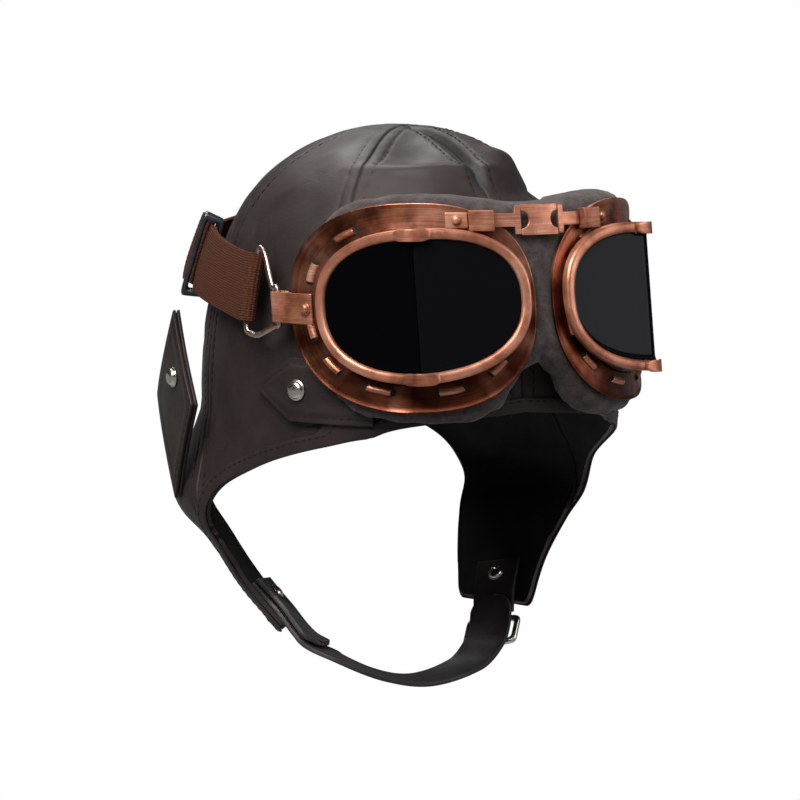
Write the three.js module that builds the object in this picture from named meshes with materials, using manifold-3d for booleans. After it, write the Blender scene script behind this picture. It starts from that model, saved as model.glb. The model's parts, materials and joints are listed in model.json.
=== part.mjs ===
// Leather flying helmet with split-lens goggles strapped on. Millimetres, +Z up.
// The wearer faces -Y and the wearer's right is -X. The origin is on the axis of the head
// at brow level, where the hem crosses the forehead.
import * as THREE from 'three';
import { mergeVertices } from 'three/addons/utils/BufferGeometryUtils.js';
import Module from 'manifold-3d';

const wasm = await Module();
wasm.setup();

// Fit and clearances
const GAP = 0.3;
const STACK_GAP = 0.5;

// Cap
const HALF_WIDTH = 84;
const REACH = 98;
const CROWN_HEIGHT = 124;
const FLAP_LENGTH = 90;
const LEATHER = 1.8;
const APEX_HOLE = 1.6;
const CROWN_FULLNESS = 2.4;
const FRONT_SEAM = 51;
const REAR_SEAM = 103;
const SWELL_AZIMUTH = 116;
const SWELL_SPREAD = 24;

// Trim on the cap
const BINDING_WIDTH = 5.5;
const BINDING_THICK = 1;
const TRIM_LEATHER = 1.4;
const TAB_LENGTH = 50;
const TAB_HEIGHT = 25;
const TAB_POINT = 17;
const TAB_RISE = 4.5;
const TAB_TIP_AZIMUTH = 74;
const TAB_SNAP_IN = 3;
const SNAP_DIAMETER = 8.6;
const SNAP_DOME = 2.4;

// Ear covers
const COVER_TOP = 44;
const COVER_BOTTOM = -35;
const COVER_MIDDLE = 6;
const COVER_FRONT = 18;
const COVER_REAR = 27;
const COVER_HOLLOW_DEPTH = 1.5;
const COVER_LAYER = 1.5;
const COVER_CENTRE_Y = 24;
const COVER_TURN_IN = 4;
const COVER_SNAP_Z = 16;

// Chin strap and buckle
const STRAP_WIDTH = 20;
const STRAP_THICK = 2;
const CHIN_LOW = 116;
const FLAP_MIDDLE = 113;
const FLAP_BOW = 1.6;
const BUCKLE_FROM_END = 36;
const FREE_END = 10;
const DIP_FROM = 26;
const DIP_RUN = 16;
const TAB_UNDER = 44;
const RIVET_IN = 8;
const PRONG_WIDTH = 2;
const PRONG_OVER = 0.6;
const PRONG_THICK = 1.6;
const FLAP_RIVET = 6.88;
const FLAP_RIVET_DOME = 1.44;
const BUCKLE_HEIGHT = 26;
const BUCKLE_LENGTH = 15;
const BUCKLE_WIRE = 2.6;

// Goggles. They lie on a leaning ellipse that stands off the cap at the temples and at the brow.
const GOGGLE_CENTRE = 52;
const TEMPLE_STAND = 3;
const BROW_STAND = 15;
const FACE_HALF_WIDTH = HALF_WIDTH + TEMPLE_STAND;
const FACE_REACH = REACH + BROW_STAND;
const LEAN = 0.15;
const PAD_HEIGHT = 89;
const PAD_AZIMUTH = 65;
const PAD_THICK = 17;
const PAD_LEAST = 4;
const PAD_ROLL = 7;
const PAD_ROLL_SHARE = 0.6;
const PAD_CLEAR = 3.9;
const PAD_EYE_INSET = 2;
const FLANGE_THICK = 1.2;
const FLANGE_HALF_HEIGHT = 40;
const FLANGE_AZIMUTH = 33;
const FLANGE_SPREAD = 30.5;
const CUP_HALF_HEIGHT = 29;
const CUP_SPREAD = 23;
const CUP_WALL = 1.2;
const CUP_LEAST_SLANT = 0.36;
const LENS_HALF_LENGTH = FACE_HALF_WIDTH * 0.517;
const LENS_HALF_HEIGHT = 29.3;
const LENS_RISE = 3;
const RIM_WIDTH = 4.2;
const RIM_DEPTH = 4.2;
const LENS_THICK = 2;
const RIDGE_ROUND = 1.5;
const LENS_LIFT = 1.5;
const CUP_INSET = 1;
const PANE_SET = 1;
const PANE_JOINT = 0.4;
const PANE_ENDS = 0.995;
const CLAMP_TURN = 0.03;
const CLAMP_PROUD = 0.8;
const CLAMP_THICK = 0.8;

// Goggle strap
const WEB_WIDTH = 25;
const WEB_THICK = 1.5;
const WEB_FRONT_AZIMUTH = 74;
const WEB_FRONT_Z = GOGGLE_CENTRE + 2;
const WEB_CLIMB = 14;
const SLIDER_AZIMUTH = 118;
const SLIDER_WIDTH = 5.5;
const SLIDER_THICK = 2.4;
const SLIDER_OVERHANG = 3;
const LOOP_WIRE = 1.8;
const LOOP_SHOULDER = 0.36;
const LOOP_CLEAR = 2.3;
const BAR_SAG = 1.4;
const SLIDER_BOW = 1.6;
const CLIP_WIDTH = 12;
const CLIP_AZIMUTH = 59;
const CLIP_Z = GOGGLE_CENTRE - 2;
const CLIP_ROOT = 3;
const CLIP_REACH = 16;
const CLIP_RETURN = 4;
const TAIL_AZIMUTH = 125;
const SEWN_AZIMUTH = 96;
const FOLD_CLOSES = 14;
const SLIDER_BACK = 1.6;
const CLIP_THICK = 1;
const RIVET_DIAMETER = 5;
const RIVET_DOME = 1.8;

// Bridge between the lenses
const BRIDGE_Z = GOGGLE_CENTRE + 33.7;
const BRIDGE_HEIGHT = 6;
const BRIDGE_THICK = 1.2;
const END_FROM = 28;
const END_LENGTH = 7.5;
const BOX_FROM = 19;
const BOX_HEIGHT = 8;
const BOX_THICK = 3.6;
const LINK_FROM = 8.2;
const LINK_FLARE = 11;
const LINK_NECK = 5.1;
const FLARE_SHARE = 0.2;
const CENTRE_HEIGHT = 12;
const BITE_AT = 4.6;
const BITE_RADIUS = 3;
const BITE_DEPTH = 2.4;
const BRIDGE_RIVET = 4;
const BRIDGE_RIVET_DOME = 1.44;

const RAD = Math.PI / 180;

// Lower edge of the cap from the brow to the nape: azimuth in degrees and drop below the brow
// as a share of FLAP_LENGTH.
const EDGE_COLUMNS = ['azimuth', 'drop'];
const EDGE = [
  [0, -0.03], [20, -0.02], [40, 0.0], [52, 0.05], [64, 0.115], [76, 0.2], [85, 0.29], [89, 0.39],
  [90, 0.5], [90, 0.62], [90, 0.75], [90, 0.88], [91, 0.98], [97, 1.0], [112, 1.0], [128, 1.0],
  [133, 0.98], [134, 0.88], [134.5, 0.72], [135, 0.56], [136.5, 0.4], [141, 0.26], [150, 0.17],
  [165, 0.13], [180, 0.12],
];

// Share of the way along that edge at which each seam ends.
const EDGE_AT_FRONT_SEAM = 0.1217;
const EDGE_AT_REAR_SEAM = 0.35;

// The cap below the brow, by drop as a share of FLAP_LENGTH: width and depth as shares of those
// at the brow, then forward shift and outward swell as shares of REACH.
const FLAP_COLUMNS = ['drop', 'width', 'depth', 'shift', 'swell'];
const FLAP = [
  [0.0, 1.0, 1.0, 0.0, 0.0],
  [0.17, 1.02, 0.95, 0.01, 0.05],
  [0.35, 1.05, 0.87, 0.03, 0.1],
  [0.47, 1.05, 0.8, 0.045, 0.07],
  [0.6, 0.98, 0.74, 0.065, 0.015],
  [0.8, 0.85, 0.58, 0.06, 0.0],
  [1.0, 0.7, 0.5, -0.04, 0.0],
];

// Dents and folds of the slumped crown: azimuth (+ to the wearer's right), height share,
// spread in degrees, spread in height, and depth as a share of CROWN_HEIGHT.
const FOLD_COLUMNS = ['azimuth', 'height', 'spreadAzimuth', 'spreadHeight', 'depth'];
const FOLDS = [
  [26, 0.93, 24, 0.055, -0.045],
  [14, 0.862, 34, 0.022, 0.022],
  [-58, 0.8, 34, 0.13, -0.085],
  [-28, 0.9, 13, 0.035, 0.03],
  [-48, 0.795, 30, 0.03, -0.022],
  [0, 0.78, 22, 0.05, -0.014],
  [-150, 0.7, 30, 0.12, -0.03],
  [160, 0.45, 26, 0.06, 0.016],
  [148, 0.36, 24, 0.035, -0.016],
];

// Pad outline: azimuth share of PAD_AZIMUTH, top and bottom as shares of PAD_HEIGHT from its centre.
const PAD_COLUMNS = ['azimuth', 'top', 'bottom'];
const PAD = [
  [0.0, 0.45, -0.24],
  [0.1, 0.455, -0.3],
  [0.18, 0.47, -0.43],
  [0.32, 0.485, -0.5],
  [0.5, 0.49, -0.51],
  [0.68, 0.46, -0.5],
  [0.82, 0.37, -0.4],
  [0.93, 0.22, -0.26],
  [1.0, 0.06, -0.13],
];

// How far the goggle strap stands off the cap, as a share of WEB_WIDTH.
const WEB_COLUMNS = ['azimuth', 'lift'];
const WEB = [
  [70, 0.27], [82, 0.19], [96, 0.14], [110, 0.175], [122, 0.17], [138, 0.1], [180, 0.07],
];

// Chin strap between the flaps: across as a share of the flap end's distance, forward as a share
// of REACH, and low as a share of CHIN_LOW.
const CHIN_COLUMNS = ['x', 'y', 'z'];
const CHIN = [
  [-0.93, 0.0, 0.83],
  [-0.78, -0.14, 0.88],
  [-0.42, -0.17, 0.955],
  [0.0, -0.13, 1.0],
  [0.42, -0.075, 0.985],
  [0.74, -0.01, 0.94],
  [0.9, 0.06, 0.87],
];

function curveValue(table, key, x, column) {
  let i = 0;
  while (i < table.length - 2 && x > table[i + 1][key]) i += 1;
  const a = table[i];
  const b = table[i + 1];
  const before = table[Math.max(0, i - 1)];
  const after = table[Math.min(table.length - 1, i + 2)];
  const t = Math.min(1, Math.max(0, (x - a[key]) / (b[key] - a[key])));
  const slope = (p, q) => (q[key] === p[key] ? 0 : (q[column] - p[column]) / (q[key] - p[key]));
  const step = b[key] - a[key];
  const m0 = slope(before, b) * step;
  const m1 = slope(a, after) * step;
  const t2 = t * t;
  const t3 = t2 * t;
  return (2 * t3 - 3 * t2 + 1) * a[column] + (t3 - 2 * t2 + t) * m0
    + (-2 * t3 + 3 * t2) * b[column] + (t3 - t2) * m1;
}

function rowsOf(table, columns) {
  return table.map((row) => Object.fromEntries(columns.map((name, i) => [name, row[i]])));
}

const edgeRows = rowsOf(EDGE, EDGE_COLUMNS);
const flapRows = rowsOf(FLAP, FLAP_COLUMNS);
const foldRows = rowsOf(FOLDS, FOLD_COLUMNS);
const padRows = rowsOf(PAD, PAD_COLUMNS);
const webRows = rowsOf(WEB, WEB_COLUMNS);
const chinRows = rowsOf(CHIN, CHIN_COLUMNS);

// Folds push the crown away from the axis at this height share, and fade out near the apex.
const FOLD_ROOT = 0.3;
const FOLD_STARTS = 4;

// Point on the outside of the cap. Azimuth in degrees, 0 at the brow and positive to the wearer's
// right; level runs 0 at the apex, 1 at the brow and 2 at the end of the flap.
function capPoint(azimuth, level) {
  const side = azimuth < 0 ? 1 : -1;
  const a = Math.abs(azimuth) * RAD;
  if (level <= 1) {
    const rise = level * Math.PI / 2;
    const reach = Math.sin(rise) ** (2 / CROWN_FULLNESS);
    const height = Math.cos(rise) ** (2 / CROWN_FULLNESS);
    const started = Math.min(1, reach * FOLD_STARTS);
    let push = 0;
    for (const fold of foldRows) {
      let turn = azimuth - fold.azimuth;
      if (turn > 180) turn -= 360;
      if (turn < -180) turn += 360;
      const away = (turn / fold.spreadAzimuth) ** 2 + ((height - fold.height) / fold.spreadHeight) ** 2;
      push += fold.depth * CROWN_HEIGHT * Math.exp(-away) * started;
    }
    const middle = CROWN_HEIGHT * FOLD_ROOT;
    const p = new THREE.Vector3(
      side * HALF_WIDTH * Math.sin(a) * reach,
      -REACH * Math.cos(a) * reach,
      CROWN_HEIGHT * height,
    );
    const out = new THREE.Vector3(p.x, p.y, Math.max(0, p.z - middle)).normalize();
    return p.addScaledVector(out, push);
  }
  const drop = level - 1;
  const width = curveValue(flapRows, 'drop', drop, 'width');
  const depth = curveValue(flapRows, 'drop', drop, 'depth');
  const shift = curveValue(flapRows, 'drop', drop, 'shift') * REACH;
  const across = Math.exp(-(((Math.abs(azimuth) - SWELL_AZIMUTH) / SWELL_SPREAD) ** 2));
  const swell = curveValue(flapRows, 'drop', drop, 'swell') * REACH * across;
  return new THREE.Vector3(
    side * (HALF_WIDTH * Math.sin(a) * width + swell * Math.sin(a)),
    -REACH * Math.cos(a) * depth + shift - swell * Math.cos(a),
    -FLAP_LENGTH * drop,
  );
}

// Small steps in azimuth and level, for directions on the cap.
const TURN = 0.5;
const STEP = 0.004;

function capNormal(azimuth, level) {
  const low = Math.max(STEP * 2, level);
  const across = capPoint(azimuth + TURN, low).sub(capPoint(azimuth - TURN, low));
  const down = capPoint(azimuth, Math.min(2, low + STEP)).sub(capPoint(azimuth, low - STEP));
  const normal = across.cross(down).normalize();
  return normal.dot(capPoint(azimuth, low)) < 0 ? normal.negate() : normal;
}

function onCap(azimuth, level, lift) {
  return capPoint(azimuth, level).addScaledVector(capNormal(azimuth, level), lift);
}

// Level of the cap at a height above the brow.
function levelOf(height) {
  if (height <= 0) return 1 - height / FLAP_LENGTH;
  const share = Math.min(1, height / CROWN_HEIGHT);
  return Math.acos(share ** (CROWN_FULLNESS / 2)) / (Math.PI / 2);
}

const material = (color, roughness, metalness) =>
  new THREE.MeshStandardMaterial({ color, roughness, metalness });
const leather = () => material(0x332829, 0.45, 0);
const copper = () => material(0xb86b4a, 0.35, 1);
const nickel = () => material(0xc9c0b4, 0.25, 1);
const suede = () => material(0x6e6262, 0.9, 0);
const glass = () => material(0x0b0b0d, 0.08, 0);
const web = () => material(0x5c3424, 0.85, 0);
const black = () => material(0x15171c, 0.4, 0);

const group = new THREE.Group();

function addMesh(name, geometry, finish) {
  const mesh = new THREE.Mesh(geometry, finish);
  mesh.name = name;
  group.add(mesh);
  return mesh;
}

// A closed solid from points and faces given by index, turned so that it faces out.
function solidFrom(points, faces) {
  let volume = 0;
  for (const [a, b, c] of faces) {
    volume += points[a].dot(new THREE.Vector3().crossVectors(points[b], points[c])) / 6;
  }
  const order = volume < 0 ? faces.map(([a, b, c]) => [a, c, b]) : faces;
  const geometry = new THREE.BufferGeometry();
  geometry.setAttribute('position', new THREE.Float32BufferAttribute(points.flatMap((p) => p.toArray()), 3));
  geometry.setIndex(order.flat());
  geometry.computeVertexNormals();
  return geometry;
}

// The same geometry with its shared corners merged.
function mergedCorners(geometry) {
  const plain = geometry.clone();
  plain.deleteAttribute('normal');
  if (plain.getAttribute('uv')) plain.deleteAttribute('uv');
  return mergeVertices(plain, 1e-4);
}

// The same solid with its shared corners merged and its faces turned out.
function outward(geometry) {
  const merged = mergedCorners(geometry);
  const position = merged.getAttribute('position');
  const index = Array.from(merged.getIndex().array);
  const points = Array.from({ length: position.count }, (_, i) =>
    new THREE.Vector3().fromBufferAttribute(position, i));
  const faces = [];
  for (let i = 0; i < index.length; i += 3) faces.push(index.slice(i, i + 3));
  return solidFrom(points, faces);
}

// A wall between two grids of points with the same rows and columns.
function wallSolid(columns, rows, outer, inner) {
  const points = [];
  const at = (i, j, layer) => layer * (columns + 1) * (rows + 1) + i * (rows + 1) + j;
  for (const surface of [outer, inner]) {
    for (let i = 0; i <= columns; i += 1) {
      for (let j = 0; j <= rows; j += 1) points.push(surface(i / columns, j / rows));
    }
  }
  const faces = [];
  const quad = (a, b, c, d) => faces.push([a, b, c], [a, c, d]);
  for (let i = 0; i < columns; i += 1) {
    for (let j = 0; j < rows; j += 1) {
      quad(at(i, j, 0), at(i + 1, j, 0), at(i + 1, j + 1, 0), at(i, j + 1, 0));
      quad(at(i, j, 1), at(i, j + 1, 1), at(i + 1, j + 1, 1), at(i + 1, j, 1));
    }
    quad(at(i, 0, 0), at(i, 0, 1), at(i + 1, 0, 1), at(i + 1, 0, 0));
    quad(at(i, rows, 0), at(i + 1, rows, 0), at(i + 1, rows, 1), at(i, rows, 1));
  }
  for (let j = 0; j < rows; j += 1) {
    quad(at(0, j, 0), at(0, j + 1, 0), at(0, j + 1, 1), at(0, j, 1));
    quad(at(columns, j, 0), at(columns, j, 1), at(columns, j + 1, 1), at(columns, j + 1, 0));
  }
  return solidFrom(points, faces);
}

// A ring whose section is a closed loop of corners.
function ringSolid(steps, section) {
  const points = [];
  const loops = [];
  for (let i = 0; i < steps; i += 1) {
    const corners = section(i / steps);
    loops.push(corners.map((p) => points.push(p) - 1));
  }
  const faces = [];
  for (let i = 0; i < steps; i += 1) {
    const here = loops[i];
    const next = loops[(i + 1) % steps];
    for (let k = 0; k < here.length; k += 1) {
      const m = (k + 1) % here.length;
      faces.push([here[k], next[k], next[m]], [here[k], next[m], here[m]]);
    }
  }
  return solidFrom(points, faces);
}

// A bar whose sections are closed loops of corners, capped at both ends.
function barSolid(steps, section) {
  const points = [];
  const loops = [];
  for (let i = 0; i <= steps; i += 1) {
    loops.push(section(i / steps).map((p) => points.push(p) - 1));
  }
  const faces = [];
  for (let i = 0; i < steps; i += 1) {
    const here = loops[i];
    const next = loops[i + 1];
    for (let k = 0; k < here.length; k += 1) {
      const m = (k + 1) % here.length;
      faces.push([here[k], next[k], next[m]], [here[k], next[m], here[m]]);
    }
  }
  const last = loops[steps];
  for (let k = 1; k < loops[0].length - 1; k += 1) {
    faces.push([loops[0][0], loops[0][k], loops[0][k + 1]]);
    faces.push([last[0], last[k + 1], last[k]]);
  }
  return solidFrom(points, faces);
}

// Cap panels. Each column runs from the apex down the crown and then fans out to the lower edge.
const edgePoint = (share) => {
  const x = share * (edgeRows.length - 1);
  const indexed = edgeRows.map((row, i) => ({ place: i, ...row }));
  return {
    azimuth: curveValue(indexed, 'place', x, 'azimuth'),
    drop: curveValue(indexed, 'place', x, 'drop'),
  };
};

const CROWN_ROWS = 12;
const APEX_LEVEL = Math.asin((APEX_HOLE / REACH) ** (CROWN_FULLNESS / 2)) / (Math.PI / 2);
const MOST_TRIM = 12;
const AT_SEAM = 1e-6;

function panelSolid(hand, from, to, edgeFrom, edgeTo, columns, skirtRows) {
  const rows = CROWN_ROWS + skirtRows;
  const surface = (lift) => (u, v) => {
    const azimuth = from + (to - from) * u;
    const end = edgePoint(edgeFrom + (edgeTo - edgeFrom) * u);
    const crown = Math.min(1, v * rows / CROWN_ROWS);
    const skirt = Math.max(0, (v * rows - CROWN_ROWS) / skirtRows);
    const level = skirt > 0 ? 1 + end.drop * skirt : APEX_LEVEL + (1 - APEX_LEVEL) * crown;
    const rise = Math.min(1, level) * Math.PI / 2;
    const radius = Math.max(APEX_HOLE, REACH * Math.sin(rise) ** (2 / CROWN_FULLNESS));
    const trim = Math.min(MOST_TRIM, (GAP / 2 / radius) / RAD);
    let turned = azimuth + (end.azimuth - azimuth) * skirt;
    if (u < AT_SEAM) turned += trim;
    if (u > 1 - AT_SEAM) turned -= trim;
    return onCap(hand * turned, level, lift);
  };
  return wallSolid(columns, rows, surface(0), surface(-LEATHER));
}

// Kind, azimuth and edge share of its two seams, and its columns and rows below the brow.
const PANELS = [
  ['front', 0, FRONT_SEAM, 0, EDGE_AT_FRONT_SEAM, 7, 1],
  ['side', FRONT_SEAM, REAR_SEAM, EDGE_AT_FRONT_SEAM, EDGE_AT_REAR_SEAM, 7, 5],
  ['rear', REAR_SEAM, 180, EDGE_AT_REAR_SEAM, 1, 13, 5],
];
for (const [hand, word] of [[1, 'right'], [-1, 'left']]) {
  for (const [kind, from, to, edgeFrom, edgeTo, columns, skirtRows] of PANELS) {
    addMesh(`${kind}_panel_${word}`,
      panelSolid(hand, from, to, edgeFrom, edgeTo, columns, skirtRows), leather());
  }
}

// Hem binding: one strip stitched round the whole lower edge, on the outside of the panels.
const edgeShare = (turn) => Math.abs(((turn + 0.5) % 1) * 2 - 1);
function edgePlace(turn) {
  const end = edgePoint(edgeShare(turn));
  const hand = turn < 0.5 ? 1 : -1;
  return { azimuth: hand * end.azimuth, level: 1 + end.drop };
}

// Moves along the surface of the cap by a small step given in space.
function slide(place, step) {
  const here = capPoint(place.azimuth, place.level);
  const across = capPoint(place.azimuth + TURN, place.level).sub(here).divideScalar(TURN);
  const down = here.clone().sub(capPoint(place.azimuth, place.level - STEP)).divideScalar(STEP);
  const aa = across.dot(across);
  const ad = across.dot(down);
  const dd = down.dot(down);
  const sa = across.dot(step);
  const sd = down.dot(step);
  const det = aa * dd - ad * ad;
  return {
    azimuth: place.azimuth + (sa * dd - sd * ad) / det,
    level: place.level + (sd * aa - sa * ad) / det,
  };
}

const BINDING_STEPS = 112;
addMesh('hem_binding', ringSolid(BINDING_STEPS, (turn) => {
  const place = edgePlace(turn);
  const ahead = edgePlace((turn + 0.5 / BINDING_STEPS) % 1);
  const behind = edgePlace((turn + 1 - 0.5 / BINDING_STEPS) % 1);
  const along = capPoint(ahead.azimuth, ahead.level).sub(capPoint(behind.azimuth, behind.level)).normalize();
  const normal = capNormal(place.azimuth, place.level);
  const inward = along.cross(normal).normalize();
  const inner = slide(place, inward.multiplyScalar(BINDING_WIDTH));
  return [
    onCap(place.azimuth, place.level, STACK_GAP),
    onCap(place.azimuth, place.level, STACK_GAP + BINDING_THICK),
    onCap(inner.azimuth, inner.level, STACK_GAP + BINDING_THICK),
    onCap(inner.azimuth, inner.level, STACK_GAP),
  ];
}), leather());

// Domes of snaps and rivets.
const DOME_RINGS = 3;
const DOME_SIDES = 9;
function domeGeometry(diameter, height) {
  const profile = [new THREE.Vector2(0, 0), new THREE.Vector2(diameter / 2, 0)];
  for (let i = 1; i < DOME_RINGS; i += 1) {
    const t = (i / DOME_RINGS) * Math.PI / 2;
    profile.push(new THREE.Vector2((diameter / 2) * Math.cos(t), height * Math.sin(t)));
  }
  profile.push(new THREE.Vector2(0, height));
  return new THREE.LatheGeometry(profile, DOME_SIDES);
}

// Seats a dome's flat side at a point, with its axis along the given normal.
function seatDome(name, point, normal, diameter, height, finish) {
  const mesh = addMesh(name, domeGeometry(diameter, height), finish);
  mesh.position.copy(point);
  mesh.quaternion.setFromUnitVectors(new THREE.Vector3(0, 1, 0), normal);
}

// Pointed tabs stitched over the brow, each with a dome snap.
const TAB_LIFT = GAP + STACK_GAP + BINDING_THICK;
const TAB_BLUNT = 0.04;
for (const [hand, word] of [[1, 'right'], [-1, 'left']]) {
  const degreesPerMm = 1 / (HALF_WIDTH * RAD);
  const surface = (lift) => (u, v) => {
    const along = TAB_LENGTH * u;
    const open = Math.min(1, along / TAB_POINT);
    const height = TAB_RISE + TAB_HEIGHT / 2 + (v - 0.5) * TAB_HEIGHT * Math.max(TAB_BLUNT, open);
    const azimuth = TAB_TIP_AZIMUTH - along * degreesPerMm;
    return onCap(hand * azimuth, levelOf(height), lift);
  };
  const point = TAB_POINT / TAB_LENGTH;
  const shared = (u) => (u < 0.5 ? u * 2 * point : point + (u - 0.5) * 2 * (1 - point));
  const top = surface(TAB_LIFT + TRIM_LEATHER);
  const under = surface(TAB_LIFT);
  addMesh(`brow_tab_${word}`,
    wallSolid(8, 3, (u, v) => top(shared(u), v), (u, v) => under(shared(u), v)), leather());
  const snapAzimuth = hand * (TAB_TIP_AZIMUTH - (TAB_POINT + TAB_SNAP_IN) * degreesPerMm);
  const snapLevel = levelOf(TAB_RISE + TAB_HEIGHT / 2);
  seatDome(`tab_snap_${word}`, onCap(snapAzimuth, snapLevel, TAB_LIFT + TRIM_LEATHER + GAP),
    capNormal(snapAzimuth, snapLevel), SNAP_DIAMETER, SNAP_DOME, nickel());
}

// Ear covers: a stiff diamond of two layers, stitched at its foot to the swell of the flap and
// standing clear of the cap above.
const HALVINGS = 30;
function azimuthAtY(y, level) {
  let low = FRONT_SEAM;
  let high = 180;
  for (let i = 0; i < HALVINGS; i += 1) {
    const middle = (low + high) / 2;
    if (capPoint(middle, level).y < y) low = middle;
    else high = middle;
  }
  return (low + high) / 2;
}
const COVER_STEPS = 16;
const COVER_CORNERS = [
  [0, COVER_TOP], [COVER_REAR, COVER_MIDDLE], [0, COVER_BOTTOM], [-COVER_FRONT, COVER_MIDDLE],
];
const coverOutline = (turn) => {
  const t = turn * COVER_CORNERS.length;
  const i = Math.floor(t);
  const a = COVER_CORNERS[i];
  const b = COVER_CORNERS[(i + 1) % COVER_CORNERS.length];
  const s = t - i;
  const hollow = Math.sin(Math.PI * s) * COVER_HOLLOW_DEPTH;
  return [a[0] + (b[0] - a[0]) * s - Math.sign(a[0] + b[0]) * hollow, a[1] + (b[1] - a[1]) * s];
};
const coverX = (along) => -COVER_TURN_IN * (Math.max(0, along) / COVER_REAR) ** 2;
let coverLift = -Infinity;
for (let turn = 0; turn < 1; turn += 0.5 / COVER_STEPS) {
  for (const share of [1, 0.5, 0]) {
    const [along, z] = coverOutline(turn);
    const height = COVER_MIDDLE + (z - COVER_MIDDLE) * share;
    const y = COVER_CENTRE_Y + along * share;
    const level = levelOf(height);
    const cap = Math.abs(capPoint(azimuthAtY(y, level), level).x);
    coverLift = Math.max(coverLift, cap + GAP / 2 - coverX(along * share));
  }
}
for (const [hand, word] of [[-1, 'right'], [1, 'left']]) {
  const layer = (out) => (along, z) => new THREE.Vector3(
    hand * (coverX(along) + coverLift + out),
    COVER_CENTRE_Y + along,
    z,
  );
  const plate = (inside, outside) => {
    const steps = COVER_STEPS;
    const points = [];
    for (const surface of [layer(inside), layer(outside)]) {
      points.push(surface(0, COVER_MIDDLE));
      for (const share of [0.5, 1]) {
        for (let i = 0; i < steps; i += 1) {
          const [along, z] = coverOutline(i / steps);
          points.push(surface(along * share, COVER_MIDDLE + (z - COVER_MIDDLE) * share));
        }
      }
    }
    const faces = [];
    const half = 1 + 2 * steps;
    for (let i = 0; i < steps; i += 1) {
      const j = (i + 1) % steps;
      faces.push([0, 1 + i, 1 + j], [half, half + 1 + j, half + 1 + i]);
      const a = 1 + i;
      const b = 1 + j;
      faces.push([a, a + steps, b + steps], [a, b + steps, b]);
      faces.push([half + a, half + b + steps, half + a + steps], [half + a, half + b, half + b + steps]);
      faces.push([a + steps, half + a + steps, half + b + steps], [a + steps, half + b + steps, b + steps]);
    }
    return solidFrom(points, faces);
  };
  addMesh(`ear_cover_back_${word}`, plate(0, COVER_LAYER), leather());
  addMesh(`ear_cover_${word}`, plate(COVER_LAYER + GAP, 2 * COVER_LAYER + GAP), leather());
  seatDome(`ear_snap_${word}`, layer(2 * COVER_LAYER + 2 * GAP)(0, COVER_SNAP_Z),
    new THREE.Vector3(hand, 0, 0), SNAP_DIAMETER, SNAP_DOME, nickel());
}

// Goggles. Places on the face are given by azimuth and height, on a leaning ellipse in plan.
function facePoint(hand, azimuth, z, lift) {
  const a = azimuth * RAD;
  const p = new THREE.Vector3(FACE_HALF_WIDTH * Math.sin(a), -FACE_REACH * Math.cos(a), z);
  const n = new THREE.Vector3(Math.sin(a) / FACE_HALF_WIDTH, -Math.cos(a) / FACE_REACH, 0).normalize();
  p.addScaledVector(n, lift);
  p.y += LEAN * (z - GOGGLE_CENTRE);
  p.x *= hand;
  return p;
}

function faceNormal(hand, azimuth) {
  const a = azimuth * RAD;
  const n = new THREE.Vector3(Math.sin(a) / FACE_HALF_WIDTH, -Math.cos(a) / FACE_REACH, 0).normalize();
  n.x *= hand;
  return n;
}

function roundOutline(angle, halfX, halfY, fullness) {
  const c = Math.cos(angle);
  const s = Math.sin(angle);
  return [
    Math.sign(c) * Math.abs(c) ** (2 / fullness) * halfX,
    Math.sign(s) * Math.abs(s) ** (2 / fullness) * halfY,
  ];
}
const OUTLINE_FULLNESS = 2.35;
const FLANGE_RISE = 2;

function flangeOutline(angle, inset) {
  const [a, z] = roundOutline(angle, FLANGE_SPREAD - inset / FACE_HALF_WIDTH / RAD,
    FLANGE_HALF_HEIGHT - inset, OUTLINE_FULLNESS);
  return [FLANGE_AZIMUTH + a, GOGGLE_CENTRE + z - a / FLANGE_SPREAD * FLANGE_RISE];
}

function cupOutline(angle, inset) {
  const [a, z] = roundOutline(angle, CUP_SPREAD - inset / FACE_HALF_WIDTH / RAD,
    CUP_HALF_HEIGHT - inset, OUTLINE_FULLNESS);
  return [FLANGE_AZIMUTH + a, GOGGLE_CENTRE + z - a / CUP_SPREAD * FLANGE_RISE];
}

// Ends and ridge of the bent line of the two panes in plan: across as a share of FACE_HALF_WIDTH
// and forward as a share of FACE_REACH.
const [nose, ridge, temple] = [[0.08, 1.018], [0.586, 0.929], [0.828, 0.602]].map(
  ([across, forward]) => new THREE.Vector2(across * FACE_HALF_WIDTH, -forward * FACE_REACH));
const LEAST_MITRE = 0.7;

// Point on that line: s runs from the nose, through the ridge at 0, to the temple.
function lensPoint(hand, s, height, out) {
  const inner = nose.clone().sub(ridge).normalize();
  const outer = temple.clone().sub(ridge).normalize();
  const innerOut = new THREE.Vector2(-inner.y, inner.x);
  const outerOut = new THREE.Vector2(outer.y, -outer.x);
  const blend = Math.min(1, Math.max(0, s / RIDGE_ROUND * 0.5 + 0.5));
  const p = ridge.clone().addScaledVector(s < 0 ? inner : outer, Math.abs(s));
  const n = innerOut.clone().lerp(outerOut, blend).normalize();
  const mitre = 1 / Math.max(LEAST_MITRE, n.dot(s < 0 ? innerOut : outerOut));
  p.addScaledVector(n, out * (Math.abs(s) < RIDGE_ROUND ? mitre : 1));
  const z = GOGGLE_CENTRE + LENS_LIFT + height - s / LENS_HALF_LENGTH * LENS_RISE;
  return new THREE.Vector3(hand * p.x, p.y + LEAN * (z - GOGGLE_CENTRE), z);
}

function lensOutline(angle, inset) {
  return roundOutline(angle, LENS_HALF_LENGTH - inset, LENS_HALF_HEIGHT - inset, OUTLINE_FULLNESS);
}

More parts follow.
